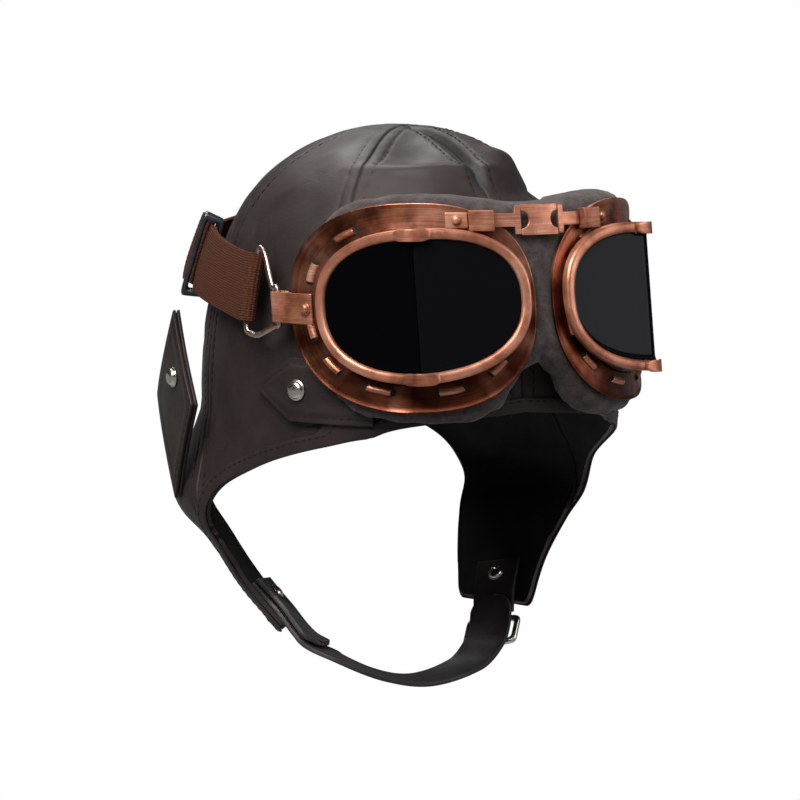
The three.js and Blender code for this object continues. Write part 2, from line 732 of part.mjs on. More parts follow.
const LENS_STEPS = 30;
const around = (t) => t * 2 * Math.PI + 1e-4;
for (const [hand, word] of [[-1, 'right'], [1, 'left']]) {
  addMesh(`flange_${word}`, ringSolid(LENS_STEPS, (t) => {
    const angle = around(t);
    const half = FLANGE_THICK / 2;
    const outer = flangeOutline(angle, 0);
    const inner = cupOutline(angle, -GAP);
    return [
      facePoint(hand, ...outer, -half), facePoint(hand, ...outer, half),
      facePoint(hand, ...inner, half), facePoint(hand, ...inner, -half),
    ];
  }), copper());

  // The wall is measured square to its own slant, which is flattest beside the nose.
  addMesh(`eye_cup_${word}`, ringSolid(LENS_STEPS, (t) => {
    const angle = around(t);
    const half = FLANGE_THICK / 2;
    const [azimuth, z] = cupOutline(angle, 0);
    const knee = facePoint(hand, azimuth, z, half + CUP_WALL);
    const top = lensPoint(hand, ...lensOutline(angle, CUP_INSET), -GAP);
    const slant = top.clone().sub(knee).normalize().dot(faceNormal(hand, azimuth));
    const wall = CUP_WALL / Math.max(CUP_LEAST_SLANT, slant);
    return [
      facePoint(hand, ...cupOutline(angle, wall), -half),
      facePoint(hand, azimuth, z, -half),
      knee,
      top,
      lensPoint(hand, ...lensOutline(angle, CUP_INSET + wall), -GAP),
      facePoint(hand, ...cupOutline(angle, wall), half + CUP_WALL),
    ];
  }), copper());

  addMesh(`lens_rim_${word}`, ringSolid(LENS_STEPS, (t) => {
    const angle = around(t);
    const bevel = RIM_WIDTH / 4;
    return [
      lensPoint(hand, ...lensOutline(angle, 0), 0),
      lensPoint(hand, ...lensOutline(angle, 0), RIM_DEPTH - bevel),
      lensPoint(hand, ...lensOutline(angle, bevel), RIM_DEPTH),
      lensPoint(hand, ...lensOutline(angle, RIM_WIDTH - bevel), RIM_DEPTH),
      lensPoint(hand, ...lensOutline(angle, RIM_WIDTH), RIM_DEPTH - bevel),
      lensPoint(hand, ...lensOutline(angle, RIM_WIDTH), 0),
    ];
  }), copper());

  for (const [side, place] of [[-1, 'inner'], [1, 'outer']]) {
    addMesh(`lens_${place}_${word}`, barSolid(8, (t) => {
      const [reach] = lensOutline(0, RIM_WIDTH + GAP);
      const run = (reach - PANE_JOINT) * PANE_ENDS * Math.sin(t * Math.PI / 2);
      const s = side * (PANE_JOINT + run);
      const share = Math.min(1, Math.abs(s) / reach);
      const across = (1 - share ** OUTLINE_FULLNESS) ** (1 / OUTLINE_FULLNESS);
      const high = (LENS_HALF_HEIGHT - RIM_WIDTH - GAP) * across;
      return [
        lensPoint(hand, s, -high, PANE_SET), lensPoint(hand, s, high, PANE_SET),
        lensPoint(hand, s, high, PANE_SET + LENS_THICK), lensPoint(hand, s, -high, PANE_SET + LENS_THICK),
      ];
    }), glass());
  }

  for (const [turn, place] of [[0.25, 'top'], [0.75, 'bottom']]) {
    addMesh(`rim_clamp_${place}_${word}`, barSolid(4, (t) => {
      const angle = (turn + (t - 0.5) * CLAMP_TURN) * 2 * Math.PI;
      return [
        lensPoint(hand, ...lensOutline(angle, -CLAMP_PROUD), RIM_DEPTH + GAP),
        lensPoint(hand, ...lensOutline(angle, -CLAMP_PROUD), RIM_DEPTH + GAP + CLAMP_THICK),
        lensPoint(hand, ...lensOutline(angle, RIM_WIDTH + CLAMP_PROUD), RIM_DEPTH + GAP + CLAMP_THICK),
        lensPoint(hand, ...lensOutline(angle, RIM_WIDTH + CLAMP_PROUD), RIM_DEPTH + GAP),
      ];
    }), copper());
  }
}

// Pad: foam under soft suede-like cloth, shaped to the cap behind and to the flanges in front,
// with a hole behind each lens.
function manifoldOf(geometry) {
  const merged = mergedCorners(geometry);
  return new wasm.Manifold(new wasm.Mesh({
    numProp: 3,
    vertProperties: new Float32Array(merged.getAttribute('position').array),
    triVerts: new Uint32Array(merged.getIndex().array),
  }));
}

function geometryOf(manifold) {
  const mesh = manifold.getMesh();
  const geometry = new THREE.BufferGeometry();
  geometry.setAttribute('position', new THREE.Float32BufferAttribute(mesh.vertProperties, 3));
  geometry.setIndex(Array.from(mesh.triVerts));
  geometry.computeVertexNormals();
  return geometry;
}

const PAD_ROWS = [0, 0.05, 0.14, 0.32, 0.5, 0.68, 0.86, 0.95, 1];
function padPlace(u, v) {
  const share = Math.abs(2 * u - 1);
  const x = v * (PAD_ROWS.length - 1);
  const i = Math.min(PAD_ROWS.length - 2, Math.floor(x));
  const t = PAD_ROWS[i] + (PAD_ROWS[i + 1] - PAD_ROWS[i]) * (x - i);
  const top = GOGGLE_CENTRE + curveValue(padRows, 'azimuth', share, 'top') * PAD_HEIGHT;
  const bottom = GOGGLE_CENTRE + curveValue(padRows, 'azimuth', share, 'bottom') * PAD_HEIGHT;
  const edge = Math.min(t, 1 - t) * (top - bottom);
  return {
    hand: u < 0.5 ? -1 : 1,
    azimuth: share * PAD_AZIMUTH,
    z: bottom + (top - bottom) * t,
    edge: Math.min(edge, (1 - share) * PAD_AZIMUTH * FACE_HALF_WIDTH * RAD),
  };
}

// Distance from the face in to the cap, along the face normal, found by stepping.
const MOST_STEPS = 60;
const STEP_SHARE = 0.6;
const CLOSE_ENOUGH = 0.02;
function capBehind(hand, azimuth, z) {
  let lift = 0;
  for (let i = 0; i < MOST_STEPS; i += 1) {
    const p = facePoint(hand, azimuth, z, lift);
    const level = levelOf(p.z);
    const turned = -hand * Math.atan2(Math.abs(p.x) / HALF_WIDTH, -p.y / REACH) / RAD;
    const cap = capPoint(turned, level);
    const distance = Math.hypot(p.x, p.y) - Math.hypot(cap.x, cap.y);
    if (distance < CLOSE_ENOUGH) break;
    lift -= distance * STEP_SHARE;
  }
  return lift;
}

const PAD_COLUMNS_COUNT = 20;
const padFront = (u, v) => {
  const { hand, azimuth, z, edge } = padPlace(u, v);
  const roll = Math.min(1, edge / PAD_ROLL);
  const drop = (1 - Math.sqrt(1 - (1 - roll) ** 2)) * PAD_ROLL * PAD_ROLL_SHARE;
  return facePoint(hand, azimuth, z, -FLANGE_THICK / 2 - GAP - drop);
};
const padBack = (u, v) => {
  const { hand, azimuth, z } = padPlace(u, v);
  const room = capBehind(hand, azimuth, z) + PAD_CLEAR;
  return facePoint(hand, azimuth, z, Math.max(-PAD_THICK, Math.min(-PAD_LEAST, room)));
};
const EYE_SIDES = 16;
let pad = manifoldOf(wallSolid(PAD_COLUMNS_COUNT, PAD_ROWS.length - 1, padFront, padBack));
for (const hand of [-1, 1]) {
  const eye = barSolid(1, (t) => Array.from({ length: EYE_SIDES }, (_, i) => {
    const [azimuth, z] = cupOutline(around(i / EYE_SIDES), CUP_WALL + PAD_EYE_INSET);
    return facePoint(hand, azimuth, z, t ? PAD_THICK : -2 * PAD_THICK);
  }));
  pad = pad.subtract(manifoldOf(eye));
}
addMesh('goggle_pad', geometryOf(pad), suede());

// Goggle strap: elastic web round the back of the cap. On the wearer's right it turns back
// through the slider and ends in a loose tail; on the left a short end is sewn down.
function webLift(azimuth) {
  return curveValue(webRows, 'azimuth', Math.abs(azimuth), 'lift') * WEB_WIDTH;
}

function webPoint(along, across, lift) {
  const turned = along / HALF_WIDTH / RAD;
  const azimuth = turned > 180 ? turned - 360 : turned;
  const share = Math.min(1, Math.abs(azimuth) / 180);
  const rise = WEB_CLIMB * Math.sin(Math.max(0, share * 180 - WEB_FRONT_AZIMUTH)
    / (180 - WEB_FRONT_AZIMUTH) * Math.PI / 2);
  return onCap(azimuth, levelOf(WEB_FRONT_Z + rise + across), lift);
}

const arc = (azimuth) => azimuth * RAD * HALF_WIDTH;
const BAR_ROOM = LOOP_WIRE * Math.SQRT2 + 2 * GAP + BAR_SAG;
const foldGap = (azimuth) => {
  const near = Math.max(0, 1 - (Math.abs(azimuth) - WEB_FRONT_AZIMUTH) / FOLD_CLOSES);
  return GAP + (BAR_ROOM - GAP) * near * near;
};
const baseLift = (azimuth) => webLift(azimuth) + WEB_THICK / 2;
const upperLift = (azimuth) => baseLift(azimuth) + WEB_THICK + foldGap(azimuth);

function webPath() {
  const path = [];
  const push = (azimuth, lift) => path.push({ along: arc(azimuth), lift });
  for (let a = TAIL_AZIMUTH; a > WEB_FRONT_AZIMUTH; a -= 5) push(a, upperLift(a));
  const fold = (azimuth, sign) => {
    const radius = (upperLift(azimuth) - baseLift(azimuth)) / 2;
    for (let i = 0; i <= 4; i += 1) {
      const t = i / 4 * Math.PI;
      const reach = -Math.sin(t) * radius;
      const lift = baseLift(azimuth) + radius + sign * Math.cos(t) * radius;
      path.push({ along: arc(sign > 0 ? azimuth : 360 - azimuth) + sign * reach, lift });
    }
  };
  fold(WEB_FRONT_AZIMUTH, 1);
  for (let a = WEB_FRONT_AZIMUTH + 4; a < 360 - WEB_FRONT_AZIMUTH; a += 6) {
    push(a, baseLift(a > 180 ? a - 360 : a));
  }
  fold(WEB_FRONT_AZIMUTH, -1);
  for (let a = WEB_FRONT_AZIMUTH + 4; a <= SEWN_AZIMUTH; a += 6) push(360 - a, upperLift(a));
  return path;
}

const path = webPath();
addMesh('goggle_strap', barSolid(path.length - 1, (t) => {
  const i = Math.round(t * (path.length - 1));
  const here = path[i];
  const before = path[Math.max(0, i - 1)];
  const after = path[Math.min(path.length - 1, i + 1)];
  const da = after.along - before.along;
  const dl = after.lift - before.lift;
  const size = Math.hypot(da, dl);
  const na = -dl / size * WEB_THICK / 2;
  const nl = da / size * WEB_THICK / 2;
  const half = WEB_WIDTH / 2;
  return [
    webPoint(here.along - na, -half, here.lift - nl), webPoint(here.along - na, 0, here.lift - nl),
    webPoint(here.along - na, half, here.lift - nl), webPoint(here.along + na, half, here.lift + nl),
    webPoint(here.along + na, 0, here.lift + nl), webPoint(here.along + na, -half, here.lift + nl),
  ];
}), web());

addMesh('strap_slider', ringSolid(4, (t) => {
  const k = Math.round(t * 4) % 4;
  const low = baseLift(SLIDER_AZIMUTH) - WEB_THICK / 2 - STACK_GAP;
  const high = upperLift(SLIDER_AZIMUTH) + WEB_THICK / 2 + STACK_GAP + SLIDER_BOW;
  const half = WEB_WIDTH / 2 + STACK_GAP;
  const side = k === 0 || k === 3 ? 1 : -1;
  const level = k < 2 ? 1 : -1;
  const lift = level > 0 ? high : low;
  const along = arc(SLIDER_AZIMUTH);
  const out = level > 0 ? SLIDER_THICK : -SLIDER_BACK;
  return [
    webPoint(along - SLIDER_WIDTH / 2, side * half, lift),
    webPoint(along + SLIDER_WIDTH / 2, side * half, lift),
    webPoint(along + SLIDER_WIDTH / 2, side * (half + SLIDER_OVERHANG), lift + out),
    webPoint(along - SLIDER_WIDTH / 2, side * (half + SLIDER_OVERHANG), lift + out),
  ];
}), black());

// Clips at the temples: a strip folded round the loop's bar and riveted to the flange.
function leaned(geometry) {
  const position = geometry.getAttribute('position');
  for (let i = 0; i < position.count; i += 1) {
    position.setY(i, position.getY(i) + LEAN * (position.getZ(i) - GOGGLE_CENTRE));
  }
  geometry.computeVertexNormals();
  return geometry;
}

for (const [hand, word] of [[-1, 'right'], [1, 'left']]) {
  const normal = faceNormal(1, CLIP_AZIMUTH);
  const along = new THREE.Vector3(-normal.y, normal.x, 0);
  const root = facePoint(1, CLIP_AZIMUTH, GOGGLE_CENTRE, FLANGE_THICK / 2 + GAP);
  const inside = LOOP_WIRE / Math.SQRT2 + 2 * GAP;
  const outside = inside + CLIP_THICK;
  const shape = new THREE.Shape();
  shape.moveTo(-CLIP_ROOT, 0);
  shape.lineTo(CLIP_REACH, 0);
  shape.absarc(CLIP_REACH, -inside, inside, Math.PI / 2, -Math.PI / 2, true);
  shape.lineTo(CLIP_REACH - CLIP_RETURN, -2 * inside);
  shape.lineTo(CLIP_REACH - CLIP_RETURN, -2 * inside - CLIP_THICK);
  shape.lineTo(CLIP_REACH, -2 * inside - CLIP_THICK);
  shape.absarc(CLIP_REACH, -inside, outside, -Math.PI / 2, Math.PI / 2, false);
  shape.lineTo(-CLIP_ROOT, CLIP_THICK);
  shape.closePath();
  const clip = new THREE.ExtrudeGeometry(shape, { depth: CLIP_WIDTH, bevelEnabled: false, curveSegments: 6 });
  const frame = new THREE.Matrix4().makeBasis(along, normal, new THREE.Vector3(0, 0, 1));
  clip.applyMatrix4(frame);
  clip.translate(root.x, root.y, CLIP_Z - CLIP_WIDTH / 2);
  leaned(clip);
  const place = (e, n, z) => {
    const p = root.clone().addScaledVector(along, e).addScaledVector(normal, n);
    return new THREE.Vector3(hand * p.x, p.y + LEAN * (CLIP_Z + z - GOGGLE_CENTRE), CLIP_Z + z);
  };
  if (hand < 0) clip.scale(-1, 1, 1);
  addMesh(`temple_clip_${word}`, outward(clip), copper());
  seatDome(`temple_rivet_${word}`, place(0, CLIP_THICK + GAP, 0), faceNormal(hand, CLIP_AZIMUTH),
    RIVET_DIAMETER, RIVET_DOME, copper());

  // Loop between the clip and the strap: long bar in the fold of the strap, short bar in the clip.
  const azimuth = -hand * WEB_FRONT_AZIMUTH;
  const middle = (baseLift(azimuth) + upperLift(azimuth)) / 2;
  const fold = arc(hand < 0 ? WEB_FRONT_AZIMUTH : 360 - WEB_FRONT_AZIMUTH);
  const strapEnd = webPoint(fold, -WEB_WIDTH / 2, middle);
  const strapBar = (z) => webPoint(fold, WEB_WIDTH / 2, middle).lerp(strapEnd, 0.5 - z / WEB_WIDTH);
  const clipBar = (z) => place(CLIP_REACH, -inside, z);
  const wide = WEB_WIDTH / 2 + LOOP_WIRE + LOOP_CLEAR;
  const narrow = CLIP_WIDTH / 2 + LOOP_WIRE + 2 * GAP;
  const axis = clipBar(0).sub(strapBar(0)).normalize();
  const up = clipBar(1).sub(clipBar(0)).normalize();
  const level = axis.clone().addScaledVector(up, -axis.dot(up)).normalize();
  const neck = (z) => clipBar(z).addScaledVector(level, -outside - GAP);
  const shoulder = (z) => strapBar(z).lerp(clipBar(z), LOOP_SHOULDER);
  const wire = LOOP_WIRE / 2;
  // Outer corner, inner corner, and how far the outer one moves along the axis.
  const corners = [
    [strapBar(wide), strapBar(wide - LOOP_WIRE), -wire],
    [shoulder(wide), shoulder(wide - LOOP_WIRE), 0],
    [neck(narrow), neck(narrow - LOOP_WIRE), 0],
    [clipBar(narrow), clipBar(narrow - LOOP_WIRE), wire],
    [clipBar(-narrow), clipBar(LOOP_WIRE - narrow), wire],
    [neck(-narrow), neck(LOOP_WIRE - narrow), 0],
    [shoulder(-wide), shoulder(LOOP_WIRE - wide), 0],
    [strapBar(-wide), strapBar(LOOP_WIRE - wide), -wire],
  ];
  const thick = new THREE.Vector3().crossVectors(axis, up).normalize().multiplyScalar(wire);
  addMesh(`strap_loop_${word}`, ringSolid(corners.length, (t) => {
    const [outer, inner, shift] = corners[Math.round(t * corners.length)];
    const o = outer.clone().addScaledVector(axis, shift);
    const i = inner.clone().addScaledVector(axis, -shift);
    return [o.clone().sub(thick), o.clone().add(thick), i.clone().add(thick), i.clone().sub(thick)];
  }), nickel());
}

// Bridge: end plates riveted to the flanges, boxes, links and the centre plate that hooks them.
function bridgePoint(x, z, lift) {
  const azimuth = Math.asin(Math.min(1, Math.abs(x) / FACE_HALF_WIDTH)) / RAD;
  return facePoint(x < 0 ? -1 : 1, azimuth, BRIDGE_Z + z, lift);
}

function bridgePlate(x0, x1, half, low, thick) {
  const surface = (lift) => (u, v) => {
    const x = x0 + (x1 - x0) * u;
    return bridgePoint(x, (v * 2 - 1) * half(u), lift);
  };
  return wallSolid(4, 1, surface(low + thick), surface(low));
}

const SEAT = FLANGE_THICK / 2 + GAP;
for (const [hand, word] of [[-1, 'right'], [1, 'left']]) {
  const flat = (height) => () => height / 2;
  const flared = (u) => (u < FLARE_SHARE ? LINK_FLARE : LINK_NECK) / 2;
  const plates = [
    ['end', END_FROM, END_FROM + END_LENGTH, flat(BRIDGE_HEIGHT), BRIDGE_THICK],
    ['box', BOX_FROM, END_FROM - GAP, flat(BOX_HEIGHT), BOX_THICK],
    ['link', LINK_FROM, BOX_FROM - GAP, flared, BRIDGE_THICK],
  ];
  for (const [kind, from, to, half, thick] of plates) {
    addMesh(`bridge_${kind}_${word}`, bridgePlate(hand * from, hand * to, half, SEAT, thick), copper());
  }
  const middle = END_FROM + END_LENGTH / 2;
  const tilt = Math.asin(middle / FACE_HALF_WIDTH) / RAD;
  seatDome(`bridge_rivet_${word}`, bridgePoint(hand * middle, 0, SEAT + BRIDGE_THICK + GAP),
    faceNormal(hand, tilt), BRIDGE_RIVET, BRIDGE_RIVET_DOME, copper());
}

const bite = (u) => {
  const x = (2 * u - 1) * (LINK_FROM - GAP);
  const from = Math.min(1, Math.abs(Math.abs(x) - BITE_AT) / BITE_RADIUS);
  return CENTRE_HEIGHT / 2 - BITE_DEPTH * Math.sqrt(1 - from ** 2);
};
const centrePlate = (lift) => (u, v) =>
  bridgePoint((2 * u - 1) * (LINK_FROM - GAP), (v * 2 - 1) * bite(u), lift);
addMesh('bridge_centre', wallSolid(16, 1, centrePlate(SEAT + BRIDGE_THICK), centrePlate(SEAT)), copper());

// Chin strap: a whole loop from the right flap, under the chin, through the buckle on the left tab.
const flapEnd = (hand, level, lift) => onCap(-hand * FLAP_MIDDLE, level, lift);
const endLift = -LEATHER - STACK_GAP - FLAP_BOW;
const SEWN_LEVEL = 1.86;
const LEAVES_LEVEL = 1.97;
const chinCurve = new THREE.CatmullRomCurve3([
  flapEnd(-1, SEWN_LEVEL, endLift), flapEnd(-1, LEAVES_LEVEL, endLift),
  ...chinRows.map((row) => new THREE.Vector3(
    row.x * flapEnd(1, 2, endLift).x, row.y * REACH, -row.z * CHIN_LOW)),
  flapEnd(1, LEAVES_LEVEL, endLift), flapEnd(1, SEWN_LEVEL, endLift),
]);
const chinLength = chinCurve.getLength();
const CHIN_FLARE = 0.83;
const chinFrame = (distance) => {
  const t = Math.min(1, Math.max(0, distance / chinLength));
  const point = chinCurve.getPointAt(t);
  const tangent = chinCurve.getTangentAt(t);
  const width = new THREE.Vector3(point.x / HALF_WIDTH * CHIN_FLARE, -1, 0);
  width.addScaledVector(tangent, -width.dot(tangent)).normalize();
  const out = new THREE.Vector3().crossVectors(tangent, width).normalize();
  if (out.dot(point) < 0) out.negate();
  return { point, tangent, width, out };
};
const chinBar = (from, to, steps, wide, thick, lift) => barSolid(steps, (t) => {
  const distance = from + (to - from) * t;
  const { point, width, out } = chinFrame(distance);
  const half = wide(t) / 2;
  const top = lift(distance);
  return [
    point.clone().addScaledVector(width, -half).addScaledVector(out, top),
    point.clone().addScaledVector(width, half).addScaledVector(out, top),
    point.clone().addScaledVector(width, half).addScaledVector(out, top - thick),
    point.clone().addScaledVector(width, -half).addScaledVector(out, top - thick),
  ];
});
const smooth = (x) => {
  const t = Math.min(1, Math.max(0, x));
  return t * t * (3 - 2 * t);
};
const buckleAt = chinLength - BUCKLE_FROM_END;
const buckleEnd = buckleAt + BUCKLE_LENGTH / 2;

// The strap dips to run under the left tab, and its ends are narrowed for the rounding.
const under = (distance) => -(STRAP_THICK + STACK_GAP) * smooth((distance - buckleAt + DIP_FROM) / DIP_RUN);
const ROUND_FROM = 0.94;
const ROUND_SHARE = 0.72;
const rounded = (t) => STRAP_WIDTH * (t > ROUND_FROM ? ROUND_SHARE : 1);
const square = () => STRAP_WIDTH;
const rightTab = -STRAP_THICK - 2 * STACK_GAP;
addMesh('chin_strap', chinBar(0, buckleEnd + FREE_END, 44, rounded, STRAP_THICK, under), leather());
addMesh('chin_tab_left',
  chinBar(chinLength, buckleEnd + 3 * GAP, 10, square, STRAP_THICK, () => 0), leather());
addMesh('chin_tab_right',
  chinBar(0, TAB_UNDER, 8, rounded, STRAP_THICK, () => rightTab), leather());

const seatAt = (distance, lift) => {
  const { point, out } = chinFrame(distance);
  return [point.clone().addScaledVector(out, lift), out.clone().negate()];
};
for (const [word, distance, top] of [['right', RIVET_IN, rightTab], ['left', chinLength - RIVET_IN, 0]]) {
  const [point, normal] = seatAt(distance, top - STRAP_THICK - GAP);
  seatDome(`flap_rivet_${word}`, point, normal, FLAP_RIVET, FLAP_RIVET_DOME, nickel());
}

// Buckle: a square frame round the strap, with a prong across it.
const buckle = chinFrame(buckleAt);
const buckleSpot = (along, across, lift) => buckle.point.clone().addScaledVector(buckle.tangent, along)
  .addScaledVector(buckle.width, across).addScaledVector(buckle.out, lift);
addMesh('buckle_frame', ringSolid(4, (t) => {
  const k = Math.round(t * 4) % 4;
  const a = k === 0 || k === 3 ? 1 : -1;
  const c = k < 2 ? 1 : -1;
  const along = BUCKLE_LENGTH / 2;
  const across = BUCKLE_HEIGHT / 2;
  const low = -STRAP_THICK;
  return [
    buckleSpot(a * along, c * across, low), buckleSpot(a * along, c * across, low + BUCKLE_WIRE),
    buckleSpot(a * (along - BUCKLE_WIRE), c * (across - BUCKLE_WIRE), low + BUCKLE_WIRE),
    buckleSpot(a * (along - BUCKLE_WIRE), c * (across - BUCKLE_WIRE), low),
  ];
}), nickel());
addMesh('buckle_prong', barSolid(1, (t) => {
  const along = (t * 2 - 1) * (BUCKLE_LENGTH / 2 + PRONG_OVER);
  const low = BUCKLE_WIRE - STRAP_THICK + GAP;
  const half = PRONG_WIDTH / 2;
  return [
    buckleSpot(along, -half, low), buckleSpot(along, half, low),
    buckleSpot(along, half, low + PRONG_THICK), buckleSpot(along, -half, low + PRONG_THICK),
  ];
}), nickel());

export default group;
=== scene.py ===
import json
import math

import bmesh
import bpy
import numpy as np
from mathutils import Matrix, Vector, noise

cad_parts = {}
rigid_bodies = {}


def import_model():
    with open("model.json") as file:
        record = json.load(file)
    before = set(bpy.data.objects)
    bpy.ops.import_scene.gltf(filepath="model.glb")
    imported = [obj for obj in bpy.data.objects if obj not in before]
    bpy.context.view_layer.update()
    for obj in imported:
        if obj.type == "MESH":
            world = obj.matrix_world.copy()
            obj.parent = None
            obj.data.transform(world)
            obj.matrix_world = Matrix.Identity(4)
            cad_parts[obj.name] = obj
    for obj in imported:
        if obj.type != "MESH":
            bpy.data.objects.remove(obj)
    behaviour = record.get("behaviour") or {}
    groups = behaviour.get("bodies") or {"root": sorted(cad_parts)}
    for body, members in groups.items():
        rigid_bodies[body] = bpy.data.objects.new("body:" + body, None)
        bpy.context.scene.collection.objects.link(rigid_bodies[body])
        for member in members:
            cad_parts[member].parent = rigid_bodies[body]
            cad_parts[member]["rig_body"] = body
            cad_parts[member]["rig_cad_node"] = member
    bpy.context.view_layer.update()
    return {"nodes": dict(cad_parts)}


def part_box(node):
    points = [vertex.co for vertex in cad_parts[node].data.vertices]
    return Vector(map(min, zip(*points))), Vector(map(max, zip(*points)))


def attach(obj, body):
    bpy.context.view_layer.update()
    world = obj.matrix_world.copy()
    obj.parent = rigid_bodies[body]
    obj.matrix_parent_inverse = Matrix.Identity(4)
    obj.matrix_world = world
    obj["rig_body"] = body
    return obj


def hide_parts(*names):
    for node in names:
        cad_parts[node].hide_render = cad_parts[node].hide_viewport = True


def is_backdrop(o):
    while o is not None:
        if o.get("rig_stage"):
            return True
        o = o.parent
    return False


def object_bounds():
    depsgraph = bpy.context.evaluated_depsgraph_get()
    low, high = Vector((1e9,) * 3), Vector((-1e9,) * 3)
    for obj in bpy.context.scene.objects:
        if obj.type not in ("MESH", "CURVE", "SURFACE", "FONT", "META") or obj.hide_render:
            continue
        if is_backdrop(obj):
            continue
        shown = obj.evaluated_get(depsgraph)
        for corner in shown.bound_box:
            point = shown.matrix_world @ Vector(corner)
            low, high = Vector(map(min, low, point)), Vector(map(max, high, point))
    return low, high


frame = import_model()

# Camera, light and floor. The camera stands in front of the cap's right side, a little above the
# brow, with a long lens. A broad soft lamp hangs at the upper front left, a smaller one fills
# from the right, and a low sun keeps the pale floor even.
MM = 0.001
VIEW_AZIMUTH = -28
VIEW_ELEVATION = 7
VIEW_DISTANCE = 1.2
LENS = 127.4
PIXEL = 0.424 * MM
AIM_SIDE = -6 * PIXEL
AIM_UP = 8 * PIXEL
FLOOR_LEVEL = -3
FLOOR_RADIUS = 400
SUN_TILT = (28, -18)
SUN_SPREAD = 60
SUN_POWER = 1.1
SKY_POWER = 0.75
# Name, azimuth, elevation, distance, size, power and colour of each soft lamp.
SOFT_LAMPS = [
    ("key_lamp", -62, 48, 1.6, 0.9, 34, (1.0, 0.98, 0.96)),
    ("fill_lamp", 48, 22, 1.8, 1.1, 10, (0.95, 0.97, 1.0)),
    ("rim_lamp", 170, 55, 1.7, 0.9, 16, (1.0, 1.0, 1.0)),
]

scene = bpy.context.scene


def looking_from(azimuth, elevation):
    """Unit vector from the cap towards a viewer at an azimuth and elevation in degrees."""
    a, e = math.radians(azimuth), math.radians(elevation)
    return Vector((math.sin(a) * math.cos(e), -math.cos(a) * math.cos(e), math.sin(e)))


def deselect_all():
    bpy.ops.object.select_all(action="DESELECT")


toward = looking_from(VIEW_AZIMUTH, VIEW_ELEVATION)
sideways = Vector((math.cos(math.radians(VIEW_AZIMUTH)), math.sin(math.radians(VIEW_AZIMUTH)), 0))
aim = sideways * AIM_SIDE + Vector((0, 0, AIM_UP))
deselect_all()
bpy.ops.object.camera_add(location=aim + toward * VIEW_DISTANCE)
camera = bpy.context.object
camera.rotation_mode = "QUATERNION"
camera.rotation_quaternion = (-toward).to_track_quat("-Z", "Y")
camera.data.sensor_width = 36
camera.data.lens = LENS
camera.data.clip_start = 0.05
camera.data.clip_end = 1000
scene.camera = camera
scene.view_settings.view_transform = "Standard"


def soft_lamp(name, azimuth, elevation, distance, size, power, colour):
    """A square area lamp that faces the cap."""
    direction = looking_from(azimuth, elevation)
    bpy.ops.object.light_add(type="AREA", location=direction * distance)
    lamp = bpy.context.object
    lamp.name = name
    lamp.rotation_mode = "QUATERNION"
    lamp.rotation_quaternion = direction.to_track_quat("Z", "Y")
    lamp.data.size = size
    lamp.data.energy = power
    lamp.data.color = colour


for values in SOFT_LAMPS:
    soft_lamp(*values)
bpy.ops.object.light_add(type="SUN", location=(0, 0, 3))
sun = bpy.context.object
sun.name = "sky_lamp"
sun.rotation_euler = (math.radians(SUN_TILT[0]), math.radians(SUN_TILT[1]), 0)
sun.data.energy = SUN_POWER
sun.data.angle = math.radians(SUN_SPREAD)


def white_to_camera(tree, lit, plain_kind, output):
    """The camera sees plain white; every other ray sees the lit shader."""
    plain = tree.nodes.new(plain_kind)
    plain.inputs["Color"].default_value = (1, 1, 1, 1)
    rays = tree.nodes.new("ShaderNodeLightPath")
    either = tree.nodes.new("ShaderNodeMixShader")
    tree.links.new(rays.outputs["Is Camera Ray"], either.inputs["Fac"])
    tree.links.new(lit.outputs[0], either.inputs[1])
    tree.links.new(plain.outputs[0], either.inputs[2])
    tree.links.new(either.outputs["Shader"], tree.nodes[output].inputs["Surface"])


world = bpy.data.worlds.new("studio")
scene.world = world
world.use_nodes = True
sky = world.node_tree.nodes["Background"]
sky.inputs["Strength"].default_value = SKY_POWER
white_to_camera(world.node_tree, sky, "ShaderNodeBackground", "World Output")

deselect_all()
bpy.ops.mesh.primitive_circle_add(vertices=64, radius=FLOOR_RADIUS, fill_type="NGON",
                                  location=(0, 0, FLOOR_LEVEL))
floor = bpy.context.object
floor.name = "floor"
floor_paint = bpy.data.materials.new("pale_floor")
floor_paint.use_nodes = True
paint = floor_paint.node_tree.nodes["Principled BSDF"]
paint.inputs["Base Color"].default_value = (0.8, 0.8, 0.8, 1)
paint.inputs["Roughness"].default_value = 0.9
white_to_camera(floor_paint.node_tree, paint, "ShaderNodeEmission", "Material Output")
floor.data.materials.append(floor_paint)
floor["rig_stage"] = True

# Cap panels. Six pieces of soft dark sheepskin leather, cut to meet at the crown and sewn edge to
# edge. The rear two run down into the ear flaps. The skin is laid over the shape of the head, with
# the slack of the crown fallen into folds above the goggles.
HALF_WIDTH = 84
REACH = 98
CROWN_HEIGHT = 124
FLAP_DROP = 90
LEATHER = 1.8
APEX_HOLE = 0.3
CROWN_FULLNESS = 2.4
FRONT_SEAM = 51
REAR_SEAM = 103
NORMAL_TURN = 0.5
NORMAL_STEP = 0.004
SHARP_ANGLE = math.radians(50)
# Folds fade out near the apex and push away from a point at this share of the crown's height.
FOLD_FADE = 4
FOLD_CENTRE = 0.3
# Where over each ear the flap swells out, and how widely.
SWELL_AZIMUTH = 116
SWELL_SPREAD = 24

